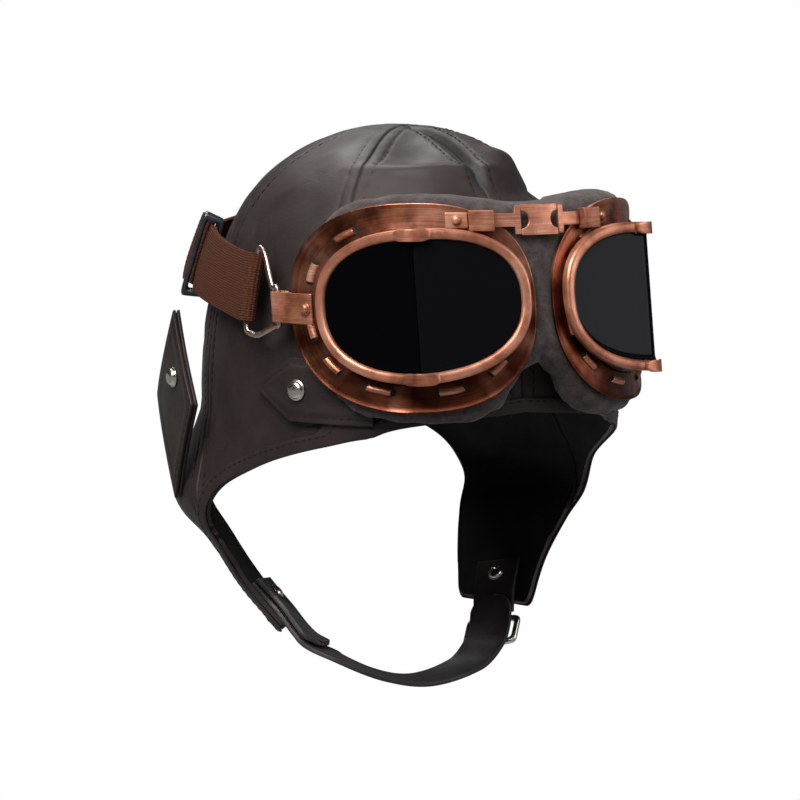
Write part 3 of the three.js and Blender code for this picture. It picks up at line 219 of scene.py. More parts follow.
# Azimuth and drop share of the lower edge, from the brow to the nape.
EDGE = np.array([
    [0, -0.03], [20, -0.02], [40, 0.0], [52, 0.05], [64, 0.115], [76, 0.2], [85, 0.29], [89, 0.39],
    [90, 0.5], [90, 0.62], [90, 0.75], [90, 0.88], [91, 0.98], [97, 1.0], [112, 1.0], [128, 1.0],
    [133, 0.98], [134, 0.88], [134.5, 0.72], [135, 0.56], [136.5, 0.4], [141, 0.26], [150, 0.17],
    [165, 0.13], [180, 0.12],
])
EDGE_LAST = len(EDGE) - 1
EDGE_AT_FRONT_SEAM = 2.92 / EDGE_LAST
EDGE_AT_REAR_SEAM = 8.4 / EDGE_LAST
# Place in the edge's list, and the azimuth at brow level from which the skin runs down to it.
BROW_FAN = np.array([
    [0, 0], [2.92, 51], [8.4, 103], [12, 114], [14, 122], [16, 130], [17, 131.5], [18, 132.8],
    [19, 134], [20, 136], [21, 140.5], [22, 149.5], [23, 165], [24, 180],
])
# Drop share, then the flap's width share, depth share, forward shift and outward swell.
FLAP = np.array([
    [0.0, 1.0, 1.0, 0.0, 0.0],
    [0.17, 1.02, 0.95, 0.01, 0.05],
    [0.35, 1.05, 0.87, 0.03, 0.1],
    [0.47, 1.05, 0.8, 0.045, 0.07],
    [0.6, 0.98, 0.74, 0.065, 0.015],
    [0.8, 0.85, 0.58, 0.06, 0.0],
    [1.0, 0.7, 0.5, -0.04, 0.0],
])
# How far the empty top of the crown sinks, and the height share at which that begins.
SLUMP = 4.3
SLUMP_FROM = 0.62
# Azimuth, height share, spread in degrees, spread in height and depth of each fold.
FOLDS = [
    (26, 0.93, 24, 0.055, -0.045),
    (14, 0.862, 34, 0.022, 0.022),
    (-58, 0.8, 34, 0.13, -0.085),
    (-28, 0.9, 13, 0.035, 0.03),
    (-48, 0.795, 30, 0.03, -0.022),
    (0, 0.78, 22, 0.05, -0.014),
    (-150, 0.7, 30, 0.12, -0.03),
    (160, 0.45, 26, 0.06, 0.016),
    (148, 0.36, 24, 0.035, -0.016),
]


def table_value(table, x, column):
    """Smooth value of a table's column at x, its first column."""
    keys, values = table[:, 0], table[:, column]
    last = len(keys) - 1
    i = np.clip(np.searchsorted(keys, x, side="left") - 1, 0, last - 1)
    before, after = np.maximum(i - 1, 0), np.minimum(i + 2, last)
    step = keys[i + 1] - keys[i]
    t = np.clip((x - keys[i]) / step, 0, 1)
    start = (values[i + 1] - values[before]) / (keys[i + 1] - keys[before]) * step
    end = (values[after] - values[i]) / (keys[after] - keys[i]) * step
    return ((2 * t**3 - 3 * t**2 + 1) * values[i] + (t**3 - 2 * t**2 + t) * start
            + (3 * t**2 - 2 * t**3) * values[i + 1] + (t**3 - t**2) * end)


def unit(vectors):
    return vectors / np.linalg.norm(vectors, axis=-1, keepdims=True)


def hump(x, centre, width):
    """1 at the centre, falling away smoothly on both sides."""
    return np.exp(-(((x - centre) / width) ** 2))


def alike(*values):
    """Numbers and arrays brought to one shape."""
    return np.broadcast_arrays(*(np.asarray(value, float) for value in values))


def ease(x, start, length):
    """0 up to the start, rising evenly to 1 over the length."""
    return np.clip((x - start) / length, 0, 1)


def cap_point(azimuth, level):
    """Outside of the cap: azimuth in degrees to the wearer's right; level 0 apex, 1 brow, 2 flap end."""
    azimuth, level = alike(azimuth, level)
    side = np.where(azimuth < 0, 1.0, -1.0)
    a = np.radians(np.abs(azimuth))
    rise = np.clip(level, 0, 1) * np.pi / 2
    reach = np.sin(rise) ** (2 / CROWN_FULLNESS)
    height = np.maximum(np.cos(rise), 0) ** (2 / CROWN_FULLNESS)
    push = np.zeros_like(rise)
    for fold_azimuth, fold_height, spread_azimuth, spread_height, depth in FOLDS:
        turn = (azimuth - fold_azimuth + 180) % 360 - 180
        away = (turn / spread_azimuth) ** 2 + ((height - fold_height) / spread_height) ** 2
        push = push + depth * CROWN_HEIGHT * np.exp(-away) * np.minimum(1, reach * FOLD_FADE)
    crown = np.stack([side * HALF_WIDTH * np.sin(a) * reach, -REACH * np.cos(a) * reach,
                      CROWN_HEIGHT * height], -1)
    out = crown.copy()
    out[..., 2] = np.maximum(0, crown[..., 2] - CROWN_HEIGHT * FOLD_CENTRE)
    crown = crown + unit(out) * push[..., None]
    sunk = ease(height, SLUMP_FROM, 1 - SLUMP_FROM)
    crown[..., 2] -= SLUMP * sunk**2 * (3 - 2 * sunk)
    drop = np.maximum(level - 1, 0)
    width, depth = table_value(FLAP, drop, 1), table_value(FLAP, drop, 2)
    swell = table_value(FLAP, drop, 4) * REACH * hump(np.abs(azimuth), SWELL_AZIMUTH, SWELL_SPREAD)
    skirt = np.stack([side * np.sin(a) * (HALF_WIDTH * width + swell),
                      -REACH * np.cos(a) * depth + table_value(FLAP, drop, 3) * REACH - swell * np.cos(a),
                      -FLAP_DROP * drop], -1)
    return np.where(level[..., None] <= 1, crown, skirt)


def cap_normal(azimuth, level):
    """Outward direction of the cap's skin."""
    azimuth, level = alike(azimuth, level)
    low = np.maximum(level, 2 * NORMAL_STEP)
    across = cap_point(azimuth + NORMAL_TURN, low) - cap_point(azimuth - NORMAL_TURN, low)
    down = cap_point(azimuth, np.minimum(2, low + NORMAL_STEP)) - cap_point(azimuth, low - NORMAL_STEP)
    normal = unit(np.cross(across, down))
    outward = np.sum(normal * cap_point(azimuth, low), -1, keepdims=True)
    return np.where(outward < 0, -normal, normal)


def on_cap(azimuth, level, lift):
    """Point at a height in mm above the cap's skin."""
    return cap_point(azimuth, level) + cap_normal(azimuth, level) * np.asarray(lift)[..., None]


def edge_place(share):
    """Azimuth and drop of the lower edge at a share of the way from brow to nape."""
    indexed = np.column_stack([np.arange(len(EDGE)), EDGE])
    x = np.asarray(share) * EDGE_LAST
    return table_value(indexed, x, 1), table_value(indexed, x, 2)


def rolling(points, scale, seed):
    """Smooth noise from -1 to 1 at each point, with features of about the given size in mm."""
    shift = Vector((seed * 17.3, seed * 5.1, seed * 9.7))
    return np.array([noise.noise(Vector(p) / scale + shift) for p in points.reshape(-1, 3)])


def apply_modifier(piece, kind, **settings):
    bpy.context.view_layer.objects.active = piece
    modifier = piece.modifiers.new(kind.lower(), kind)
    for key, value in settings.items():
        setattr(modifier, key, value)
    bpy.ops.object.modifier_apply(modifier=modifier.name)


def in_edit_mode(piece, operator, **settings):
    """Runs an edit-mode operator on all of a piece."""
    deselect_all()
    piece.select_set(True)
    bpy.context.view_layer.objects.active = piece
    bpy.ops.object.mode_set(mode="EDIT")
    bpy.ops.mesh.select_all(action="SELECT")
    operator(**settings)
    bpy.ops.object.mode_set(mode="OBJECT")


def corners_of(piece):
    corners = np.empty(len(piece.data.vertices) * 3)
    piece.data.vertices.foreach_get("co", corners)
    return corners.reshape(-1, 3)


def move_corners(piece, points):
    """Puts a piece's corners at points in mm."""
    piece.data.vertices.foreach_set("co", (points * MM).ravel())
    piece.data.update()


def shape_skin(name, columns, rows, place, outward):
    """A grid primitive laid on a surface. place takes shares across and down; outward is a
    function that gives the outside direction at points in mm."""
    deselect_all()
    bpy.ops.mesh.primitive_grid_add(x_subdivisions=columns, y_subdivisions=rows, size=2)
    piece = bpy.context.object
    piece.name = name
    corners = corners_of(piece)
    move_corners(piece, place((corners[:, 0] + 1) / 2, (corners[:, 1] + 1) / 2))
    faces = piece.data.polygons
    centres = np.array([f.center for f in faces]) / MM
    normals = np.array([f.normal for f in faces])
    if np.sum(normals * outward(centres)) < 0:
        in_edit_mode(piece, bpy.ops.mesh.flip_normals)
    return piece


def thicken(piece, thickness, offset=-1.0, edge=0.0, lined=False):
    """Gives a skin its wall, inward by default, and rounds the cut edge."""
    apply_modifier(piece, "SOLIDIFY", thickness=thickness * MM, offset=offset,
                   material_offset=1 if lined else 0)
    if edge:
        apply_modifier(piece, "BEVEL", width=edge * MM, segments=2, limit_method="ANGLE",
                       angle_limit=SHARP_ANGLE)
    return piece


def finish_piece(piece, finish, slot, *nodes):
    """Smooth shading, finish and the CAD nodes that the piece stands for; the slot is not used."""
    if not piece.data.materials:
        piece.data.materials.append(finish)
    deselect_all()
    piece.select_set(True)
    bpy.context.view_layer.objects.active = piece
    bpy.ops.object.shade_smooth_by_angle(angle=SHARP_ANGLE)
    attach(piece, "root")
    if nodes:
        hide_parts(*nodes)
    return piece


def shader_of(finish):
    return finish.node_tree.nodes["Principled BSDF"]


def new_finish(name, colour, roughness, metallic=0.0, **constants):
    """A Principled material with its constants on the shader's own sockets."""
    finish = bpy.data.materials.new(name)
    finish.use_nodes = True
    shader = shader_of(finish)
    shader.inputs["Base Color"].default_value = (*colour, 1)
    shader.inputs["Roughness"].default_value = roughness
    shader.inputs["Metallic"].default_value = metallic
    for key, value in constants.items():
        shader.inputs[key.replace("_", " ").title().replace("Ior", "IOR")].default_value = value
    return finish


def add_node(finish, kind, **inputs):
    made = finish.node_tree.nodes.new(kind)
    for key, value in inputs.items():
        made.inputs[key].default_value = value
    return made


def wire(finish, source, output, target, into):
    finish.node_tree.links.new(source.outputs[output], target.inputs[into])


def coordinates(finish, kind="Object", scale=(1, 1, 1)):
    """Object or UV coordinates through a Mapping node."""
    where = add_node(finish, "ShaderNodeTexCoord")
    mapping = add_node(finish, "ShaderNodeMapping", Scale=scale)
    wire(finish, where, kind, mapping, "Vector")
    return mapping


def ramp_of(finish, source, output, stops):
    """Colour ramp from a source: stops are (place, (r, g, b))."""
    ramp = add_node(finish, "ShaderNodeValToRGB")
    elements = ramp.color_ramp.elements
    while len(elements) < len(stops):
        elements.new(0.5)
    for element, (place, colour) in zip(elements, stops):
        element.position = place
        element.color = (*colour, 1)
    wire(finish, source, output, ramp, "Fac")
    return ramp


def mottle(finish, scale, stops, detail=6.0, kind="Object", stretch=(1, 1, 1)):
    """Uneven colour from noise; returns the ramp so that more can be mixed over it."""
    cloud = add_node(finish, "ShaderNodeTexNoise", Scale=scale, Detail=detail, Roughness=0.6)
    wire(finish, coordinates(finish, kind, stretch), "Vector", cloud, "Vector")
    ramp = ramp_of(finish, cloud, "Fac", stops)
    wire(finish, ramp, "Color", shader_of(finish), "Base Color")
    return ramp


def uneven_gloss(finish, scale, low, high):
    """Roughness that drifts between two values."""
    cloud = add_node(finish, "ShaderNodeTexNoise", Scale=scale, Detail=4.0)
    wire(finish, coordinates(finish), "Vector", cloud, "Vector")
    limits = {"From Min": 0.3, "From Max": 0.7, "To Min": low, "To Max": high}
    spread = add_node(finish, "ShaderNodeMapRange", **limits)
    wire(finish, cloud, "Fac", spread, "Value")
    wire(finish, spread, "Result", shader_of(finish), "Roughness")


def relief(finish, source, output, strength, depth):
    """Adds a bump under any that is there already. depth is in mm."""
    bump = add_node(finish, "ShaderNodeBump", Strength=strength, Distance=depth * MM)
    wire(finish, source, output, bump, "Height")
    shader = shader_of(finish)
    linked = shader.inputs["Normal"].links
    if linked:
        finish.node_tree.links.new(linked[0].from_socket, bump.inputs["Normal"])
    wire(finish, bump, "Normal", shader, "Normal")


def blended(finish, share, first, second, way="MIX"):
    """Lays the second colour over the first. share is a number or a node with a factor."""
    mix = add_node(finish, "ShaderNodeMix")
    mix.data_type = "RGBA"
    mix.blend_type = way
    if isinstance(share, float):
        mix.inputs[0].default_value = share
    else:
        finish.node_tree.links.new(share.outputs["Fac"], mix.inputs[0])
    finish.node_tree.links.new(first, mix.inputs[6])
    if isinstance(second, tuple):
        mix.inputs[7].default_value = second
    else:
        finish.node_tree.links.new(second, mix.inputs[7])
    return mix.outputs[2]


def leather_finish(name, stops, roughness_low, roughness_high, pebble):
    """Soft worn hide: clouded brown, fine pebble grain and creases, with painted shade down in the seams.
    """
    finish = new_finish(name, stops[1][1], roughness_low, specular_ior_level=0.36,
                        sheen_weight=0.03, sheen_roughness=0.4)
    ramp = mottle(finish, 38, stops)
    # Painted shade: the seam attribute mixes the colour towards SEAM_SHADOW in the seam grooves and the
    # crown's centre fold.
    seam = add_node(finish, "ShaderNodeAttribute")
    seam.attribute_name = "seam"
    darker = blended(finish, seam, ramp.outputs["Color"], SEAM_SHADOW)
    finish.node_tree.links.new(darker, shader_of(finish).inputs["Base Color"])
    uneven_gloss(finish, 60, roughness_low, roughness_high)
    cells = add_node(finish, "ShaderNodeTexVoronoi", Scale=pebble)
    cells.feature = "SMOOTH_F1"
    wire(finish, coordinates(finish), "Vector", cells, "Vector")
    relief(finish, cells, "Distance", strength=0.3, depth=0.16)
    creases = add_node(finish, "ShaderNodeTexNoise", Scale=150.0, Detail=8.0, Roughness=0.65)
    wire(finish, coordinates(finish), "Vector", creases, "Vector")
    relief(finish, creases, "Fac", strength=0.3, depth=0.55)
    return finish


CAP_TONES = [
    (0.3, (0.011, 0.0065, 0.006)), (0.5, (0.0175, 0.0108, 0.0102)), (0.7, (0.027, 0.0175, 0.0165)),
]
LINING_TONES = [
    (0.3, (0.002, 0.002, 0.002)), (0.5, (0.003, 0.003, 0.003)), (0.7, (0.005, 0.004, 0.004)),
]
# Colour of the painted shade in the seam grooves and the centre fold.
SEAM_SHADOW = (0.006, 0.004, 0.004, 1)
cap_leather = leather_finish("cap_leather", CAP_TONES, 0.47, 0.64, pebble=800)
lining_leather = leather_finish("lining_leather", LINING_TONES, 0.6, 0.8, pebble=700)

CROWN_ROWS = 104
SKIRT_ROWS = 46
PANEL_CROWD = 0.12
SKIN_RUN = 150
INSIDE_UP = 10
CENTRE_ROW = 6.2
SIDE_ROW = 5.0
SEAM_GROOVE = 0.5
GROOVE_WIDTH = 0.6
SEAM_ROLL = 0.14
ROLL_WIDTH = 1.7
STITCH_DENT = 0.22
DENT_WIDTH = 0.8
PUCKER = 0.5
PUCKER_PITCH = 7.3
PUCKER_WIDTH = 4
SEAM_FADE = 14
CENTRE_FOLD_LEVEL = 0.46
CENTRE_FOLD_FADE = 0.06
CENTRE_FOLD_WIDTH = 3.4
CENTRE_FOLD_DEPTH = 3.0
EDGE_BAND = 0.03
HEM_CALM = 9
HEM_CREASE = 11
HEM_CREASE_WIDTH = 1.3
HEM_CREASE_DEPTH = 0.45
HEM_CREASE_DROP = 0.1
# Strength and width in mm of the painted shade along each seam, and its strength in the centre fold.
SEAM_SHADE = 0.7
SEAM_SHADE_WIDTH = 0.5
FOLD_SHADE = 0.95
# Height, size in mm and seed of the uneven rolls of the hide.
ROLLS = [(0.55, 17, 1), (0.14, 7, 2)]


def spread_out(share, crowd):
    """Moves even shares towards both ends."""
    return share - crowd * np.sin(2 * np.pi * share)


def crown_outward(points):
    """Away from a point inside the cap, a little above the brow."""
    return points - np.array([0, 0, INSIDE_UP])


def seam_relief(distance, run, row):
    """Height in mm beside a sewn seam: groove, rolled edge, and the dent under the stitch row."""
    pucker = 1 + PUCKER * np.sin(run * 2 * np.pi / PUCKER_PITCH) * hump(distance, row, PUCKER_WIDTH)
    return (-SEAM_GROOVE * hump(distance, 0, GROOVE_WIDTH)
            + SEAM_ROLL * pucker * hump(distance, row / 2, ROLL_WIDTH)
            - STITCH_DENT * pucker * hump(distance, row, DENT_WIDTH))


def paint_seam_shade(piece, values):
    """Keeps in each corner how much painted shade darkens the leather there."""
    attribute = piece.data.attributes.new("seam", "FLOAT", "POINT")
    attribute.data.foreach_set("value", np.clip(values, 0, 1).astype(np.float32))


def centre_fold(azimuth, level, distance):
    """How deep the crown's centre seam is drawn in, from 0 to 1, at a distance from it."""
    front = np.abs(azimuth) < FRONT_SEAM
    high = 1 - ease(level, CENTRE_FOLD_LEVEL - CENTRE_FOLD_FADE, CENTRE_FOLD_FADE)
    return front * high * hump(distance, 0, CENTRE_FOLD_WIDTH)


def make_panel(word, hand, kind, start, end, edge_start, edge_end, columns, skirt_rows, seam_rows):
    """One panel between the seams at two azimuths, and between two shares of the lower edge."""
    apex = math.asin((APEX_HOLE / REACH) ** (CROWN_FULLNESS / 2)) / (math.pi / 2)
    rows = CROWN_ROWS + skirt_rows
    split = CROWN_ROWS / rows
    kept = {}

    def place(u, v):
        u = spread_out(u, PANEL_CROWD)
        share = edge_start + (edge_end - edge_start) * u
        azimuth = np.interp(share * EDGE_LAST, BROW_FAN[:, 0], BROW_FAN[:, 1])
        down = ease(v, split, 1 - split)
        edge_azimuth, edge_drop = edge_place(share)
        brow = 1 + np.minimum(edge_drop, 0) - EDGE_BAND
        level = np.where(v <= split, apex + (brow - apex) * np.minimum(v / split, 1),
                         brow + (1 + edge_drop - brow) * down)
        azimuth_above = azimuth
        azimuth = azimuth + (edge_azimuth - azimuth) * down
        plain = cap_point(hand * azimuth, level)
        radius = np.maximum(np.hypot(plain[:, 0], plain[:, 1]), APEX_HOLE)
        near_start = np.radians(azimuth_above - start) * radius
        near_end = np.radians(end - azimuth_above) * radius
        run = level * SKIN_RUN
        lift = seam_relief(near_start, run, seam_rows[0]) + seam_relief(near_end, run, seam_rows[1])
        fold = centre_fold(azimuth, level, near_start) if kind == "front" else 0 * lift
        lift = (lift - CENTRE_FOLD_DEPTH * fold) * np.minimum(1, radius / SEAM_FADE)
        above_hem = plain[:, 2] + np.maximum(edge_drop, 0) * FLAP_DROP
        crease = hump(above_hem, HEM_CREASE, HEM_CREASE_WIDTH) * (edge_drop < HEM_CREASE_DROP)
        lift = lift - HEM_CREASE_DEPTH * crease
        calm = np.clip((1 + edge_drop - level) * FLAP_DROP / HEM_CALM, 0, 1)
        lift = lift + calm * sum(height * rolling(plain, scale, seed) for height, scale, seed in ROLLS)
        nearest = np.minimum(near_start, near_end)
        # Painted shade: darker along the nearest seam's groove and down the crown's centre fold.
        kept["seam"] = SEAM_SHADE * hump(nearest, 0, SEAM_SHADE_WIDTH) + FOLD_SHADE * fold
        return on_cap(hand * azimuth, level, lift)

    panel = shape_skin(f"{kind}_panel_{word}_hide", columns, rows, place, crown_outward)
    paint_seam_shade(panel, kept["seam"])
    panel.data.materials.append(cap_leather)
    panel.data.materials.append(lining_leather)
    thicken(panel, LEATHER, lined=True)
    finish_piece(panel, cap_leather, "cap_leather", f"{kind}_panel_{word}")


# Kind, first and last azimuth, first and last share of the lower edge, columns and rows of the grid,
# and the distance of the stitch row from the first and the last seam.
PANELS = [
    ("front", 0, FRONT_SEAM, 0, EDGE_AT_FRONT_SEAM, 64, 8, (CENTRE_ROW, SIDE_ROW)),
    ("side", FRONT_SEAM, REAR_SEAM, EDGE_AT_FRONT_SEAM, EDGE_AT_REAR_SEAM, 64, SKIRT_ROWS,
     (SIDE_ROW, SIDE_ROW)),
    ("rear", REAR_SEAM, 180, EDGE_AT_REAR_SEAM, 1, 88, SKIRT_ROWS, (SIDE_ROW, CENTRE_ROW)),
]
# The sign of an azimuth on the cap, for the wearer's right and left.
CAP_SIDES = ((1, "right"), (-1, "left"))
for hand, word in CAP_SIDES:
    for values in PANELS:
        make_panel(word, hand, *values)

# Seam stitches. Waxed thread run by machine in a row on each side of every seam, sunk a little in
# the leather. One stitch is shaped and copied along the rows.
STITCH_PITCH = 3.4
STITCH_LENGTH = 2.3
STITCH_WIDTH = 0.7
STITCH_HEIGHT = 0.44
STITCH_LOOK = 0.3
ROW_TOP = 0.03
ROW_SAMPLES = 160
ROW_SAMPLES_BELOW = 60
ROW_ABOVE_EDGE = 7
ROW_ABOVE_BROW = 7.5
FLAT_BROW = 0.02
CENTRE_ROW_START = 12
SIDE_ROW_START = 17
thread = new_finish("waxed_thread", (0.012, 0.007, 0.006), 0.6, specular_ior_level=0.2)
mottle(thread, 400, [(0.35, (0.007, 0.004, 0.0035)), (0.65, (0.02, 0.011, 0.009))])

deselect_all()
bpy.ops.mesh.primitive_uv_sphere_add(segments=6, ring_count=4, radius=0.5)
pattern = bpy.context.object
pattern.scale = (STITCH_WIDTH * MM, STITCH_HEIGHT * MM, STITCH_LENGTH * MM)
bpy.ops.object.transform_apply(scale=True)
one_stitch = bmesh.new()
one_stitch.from_mesh(pattern.data)
stitch_corners = np.array([v.co for v in one_stitch.verts])
stitch_faces = [[v.index for v in f.verts] for f in one_stitch.faces]
one_stitch.free()
bpy.data.objects.remove(pattern)


def lengths_along(points):
    """Distance of each point of a line from its first."""
    return np.concatenate([[0], np.cumsum(np.linalg.norm(np.diff(points, axis=0), axis=1))])


def read_line(at, lengths, values):
    """Values that belong to a line's points, read at distances along it."""
    return np.stack([np.interp(at, lengths, column) for column in values.T], -1)


def square_to(vectors, along):
    """Unit vectors turned square to a direction."""
    return unit(vectors - along * np.sum(vectors * along, -1, keepdims=True))


def sew(name, rows):
    """One mesh of stitches. Each row is (points, normals) in mm, on the leather's outside."""
    corners, faces, count = [], [], 0
    for points, normals in rows:
        lengths = lengths_along(points)
        stitches = max(2, int(lengths[-1] / STITCH_PITCH))
        at = (np.arange(stitches) + 0.5) * lengths[-1] / stitches
        places = read_line(at, lengths, points)
        ahead = read_line(at + STITCH_LOOK, lengths, points)
        along = unit(ahead - read_line(at - STITCH_LOOK, lengths, points))
        out = square_to(read_line(at, lengths, normals), along)
        side = np.cross(out, along)
        for place, a, o, s in zip(places, along, out, side):
            turned = stitch_corners @ np.array([s, o, a])
            corners.append(turned + place * MM)
            faces.extend([[i + count for i in face] for face in stitch_faces])
            count += len(stitch_corners)
    mesh = bpy.data.meshes.new(name)
    mesh.from_pydata(np.concatenate(corners).tolist(), [], faces)
    piece = bpy.data.objects.new(name, mesh)
    bpy.context.collection.objects.link(piece)
    in_edit_mode(piece, bpy.ops.mesh.normals_make_consistent, inside=False)
    finish_piece(piece, thread, "cap_leather")


def seam_line(hand, seam, edge_share, offset, start_radius):
    """Points and normals of a stitch row beside a seam, from the crown to the lower edge."""
    edge_azimuth, edge_drop = edge_place(edge_share)
    below = np.linspace(0.01, 1, ROW_SAMPLES_BELOW)
    level = np.concatenate([np.linspace(ROW_TOP, 1, ROW_SAMPLES), 1 + below * float(edge_drop)])
    down = np.concatenate([np.zeros(ROW_SAMPLES), below])
    azimuth = seam + (float(edge_azimuth) - seam) * down
    plain = cap_point(hand * azimuth, level)
    radius = np.hypot(plain[:, 0], plain[:, 1])
    keep = radius > start_radius
    azimuth, level, radius = azimuth[keep], level[keep], radius[keep]
    turned = hand * azimuth + np.degrees(offset / radius)
    if edge_drop > FLAT_BROW:
        keep = (1 + float(edge_drop) - level) * FLAP_DROP > ROW_ABOVE_EDGE
    else:
        keep = cap_point(turned, level)[:, 2] > ROW_ABOVE_BROW
    turned, level = turned[keep], level[keep]
    return on_cap(turned, level, np.full(len(level), -STITCH_DENT / 2)), cap_normal(turned, level)


seam_rows = []
for offset in (-CENTRE_ROW, CENTRE_ROW):
    seam_rows.append(seam_line(1, 0, 0, offset, CENTRE_ROW_START))
    seam_rows.append(seam_line(1, 180, 1, offset, CENTRE_ROW_START))
for hand, _ in CAP_SIDES:
    for offset in (-SIDE_ROW, SIDE_ROW):
        seam_rows.append(seam_line(hand, FRONT_SEAM, EDGE_AT_FRONT_SEAM, offset, SIDE_ROW_START))
        seam_rows.append(seam_line(hand, REAR_SEAM, EDGE_AT_REAR_SEAM, offset, SIDE_ROW_START))
sew("seam_stitches", seam_rows)

# Hem binding. A narrow strip of the same leather, folded over the cut edge all the way round and
# sewn down with one row of stitches near its upper side.
STACK_GAP = 0.5
BINDING_WIDTH = 5.5
BINDING_THICK = 1.0
BINDING_OVER = 0.4
BINDING_STEPS = 720
HEM_ROW_IN = 1.4
HEM_SAMPLES = 900
HEM_LOOK = 0.004


def squared(around, fullness):
    """Superellipse: across and up, from -1 to 1, at a turn round a section."""
    c, s = np.cos(around * 2 * np.pi), np.sin(around * 2 * np.pi)
    return (np.sign(c) * np.abs(c) ** (2 / fullness), np.sign(s) * np.abs(s) ** (2 / fullness))


def shape_hoop(name, steps, sides, place, fullness=4.0):
    """A grid primitive rolled up into a closed hoop. place takes the turn round the hoop and,
    from -1 to 1, the way across and up in the section."""
    def roll(u, v):
        across, up = squared((v * sides + 0.5) / sides, fullness)
        return place(np.where(u > 1 - 1e-6, 0, u), across, up)

    piece = shape_skin(name, steps, sides, roll, lambda points: points)
    in_edit_mode(piece, bpy.ops.mesh.remove_doubles, threshold=0.002 * MM)
    in_edit_mode(piece, bpy.ops.mesh.normals_make_consistent, inside=False)
    return piece


def edge_turn(turn):
    """Azimuth and level of the lower edge at a turn from the nape round by the wearer's right."""
    turn = np.asarray(turn) % 1
    azimuth, drop = edge_place(np.abs(((turn + 0.5) % 1) * 2 - 1))
    return np.where(turn < 0.5, 1, -1) * azimuth, 1 + drop


def slide_on_cap(azimuth, level, step):
    """Moves places along the surface of the cap by small steps given in space."""
    here = cap_point(azimuth, level)
    across = (cap_point(azimuth + NORMAL_TURN, level) - here) / NORMAL_TURN
    down = (here - cap_point(azimuth, level - NORMAL_STEP)) / NORMAL_STEP
    aa, ad, dd = (np.sum(x * y, -1) for x, y in ((across, across), (across, down), (down, down)))
    sa, sd = np.sum(across * step, -1), np.sum(down * step, -1)
    area = aa * dd - ad * ad
    return azimuth + (sa * dd - sd * ad) / area, level + (sd * aa - sa * ad) / area


def above_edge(turn, height):
    """Place on the cap at a distance in mm in from the lower edge."""
    azimuth, level = edge_turn(turn)
    ahead, behind = edge_turn(turn + HEM_LOOK), edge_turn(turn - HEM_LOOK)
    along = unit(cap_point(*ahead) - cap_point(*behind))
    inward = unit(np.cross(along, cap_normal(azimuth, level)))
    return slide_on_cap(azimuth, level, inward * np.asarray(height)[..., None])


def binding_place(turn, across, up):
    height = (across + 1) / 2 * (BINDING_WIDTH + BINDING_OVER) - BINDING_OVER
    return on_cap(*above_edge(turn, height), STACK_GAP + BINDING_THICK * (up + 1) / 2)


binding = shape_hoop("hem_binding_strip", BINDING_STEPS, 16, binding_place, 5)
finish_piece(binding, cap_leather, "cap_leather", "hem_binding")
hem_turns = (np.arange(HEM_SAMPLES) + 0.5) / HEM_SAMPLES
hem_places = above_edge(hem_turns, 0 * hem_turns + BINDING_WIDTH - HEM_ROW_IN)
hem_points = on_cap(*hem_places, 0 * hem_turns + STACK_GAP + BINDING_THICK)
sew("hem_stitches", [(hem_points, cap_normal(*hem_places))])

# Brow tabs. A pointed leather tab on each side of the brow, sewn round its edge and closed with a
# nickel snap cap.
GAP = 0.3
TAB_LENGTH = 50
TAB_HEIGHT = 25
TAB_POINT = 17
TAB_RISE = 4.5
TAB_TIP_AZIMUTH = 74
TRIM_LEATHER = 1.4
TAB_LIFT = GAP + STACK_GAP + BINDING_THICK
SNAP_DIAMETER = 8.6
SNAP_DOME = 2.4
TAB_SNAP_IN = 3
TAB_CROWD = 1.3
TAB_ROW_IN = 2.3
TAB_ROW_FROM = 4
TAB_ROW_TO = 1
TAB_ROW_SUNK = 0.15
EDGE_ROUND = 0.35
# No cap's normal points this way, so that each cap's sides can be found from it.
ASKEW = (0.1, 0.2, 1.0)
# Height, distance in from the rim, and width: the puffed edge, then the dent under its stitches.
TAB_RELIEF = [(0.35, 4.2, 2.2), (-0.25, 2.2, 0.7)]
nickel = new_finish("warm_nickel", (0.72, 0.67, 0.6), 0.22, 1.0)
mottle(nickel, 260, [(0.3, (0.55, 0.5, 0.44)), (0.6, (0.76, 0.71, 0.64))])
uneven_gloss(nickel, scale=500, low=0.16, high=0.34)

# Radius and height shares of a pressed cap from its top to the middle of its flat back.
CAP_PROFILE = np.array([
    [0.0, 0.0, 1.0], [0.18, 0.4, 0.95], [0.3, 0.62, 0.82], [0.4, 0.78, 0.55], [0.46, 0.83, 0.28],
    [0.5, 0.88, 0.2], [0.56, 0.97, 0.2], [0.6, 1.0, 0.12], [0.66, 1.0, 0.0], [1.0, 0.0, 0.0],
])


def pressed_cap(name, point, normal, diameter, height, finish, slot, *nodes):
    """A round metal cap with a rolled lip, seated at a point along its outward normal."""
    deselect_all()
    bpy.ops.mesh.primitive_uv_sphere_add(segments=32, ring_count=24, radius=1)
    piece = bpy.context.object
    piece.name = name
    corners = corners_of(piece)
    share = np.arccos(np.clip(corners[:, 2], -1, 1)) / np.pi
    angle = np.arctan2(corners[:, 1], corners[:, 0])
    radius = np.interp(share, CAP_PROFILE[:, 0], CAP_PROFILE[:, 1]) * diameter / 2
    rise = np.interp(share, CAP_PROFILE[:, 0], CAP_PROFILE[:, 2]) * height
    out = unit(np.asarray(normal, float))
    side = unit(np.cross(out, ASKEW))
    up = np.cross(out, side)
    move_corners(piece, np.asarray(point) + out * rise[:, None]
                 + side * (radius * np.cos(angle))[:, None] + up * (radius * np.sin(angle))[:, None])
    in_edit_mode(piece, bpy.ops.mesh.normals_make_consistent, inside=False)
    finish_piece(piece, finish, slot, *nodes)


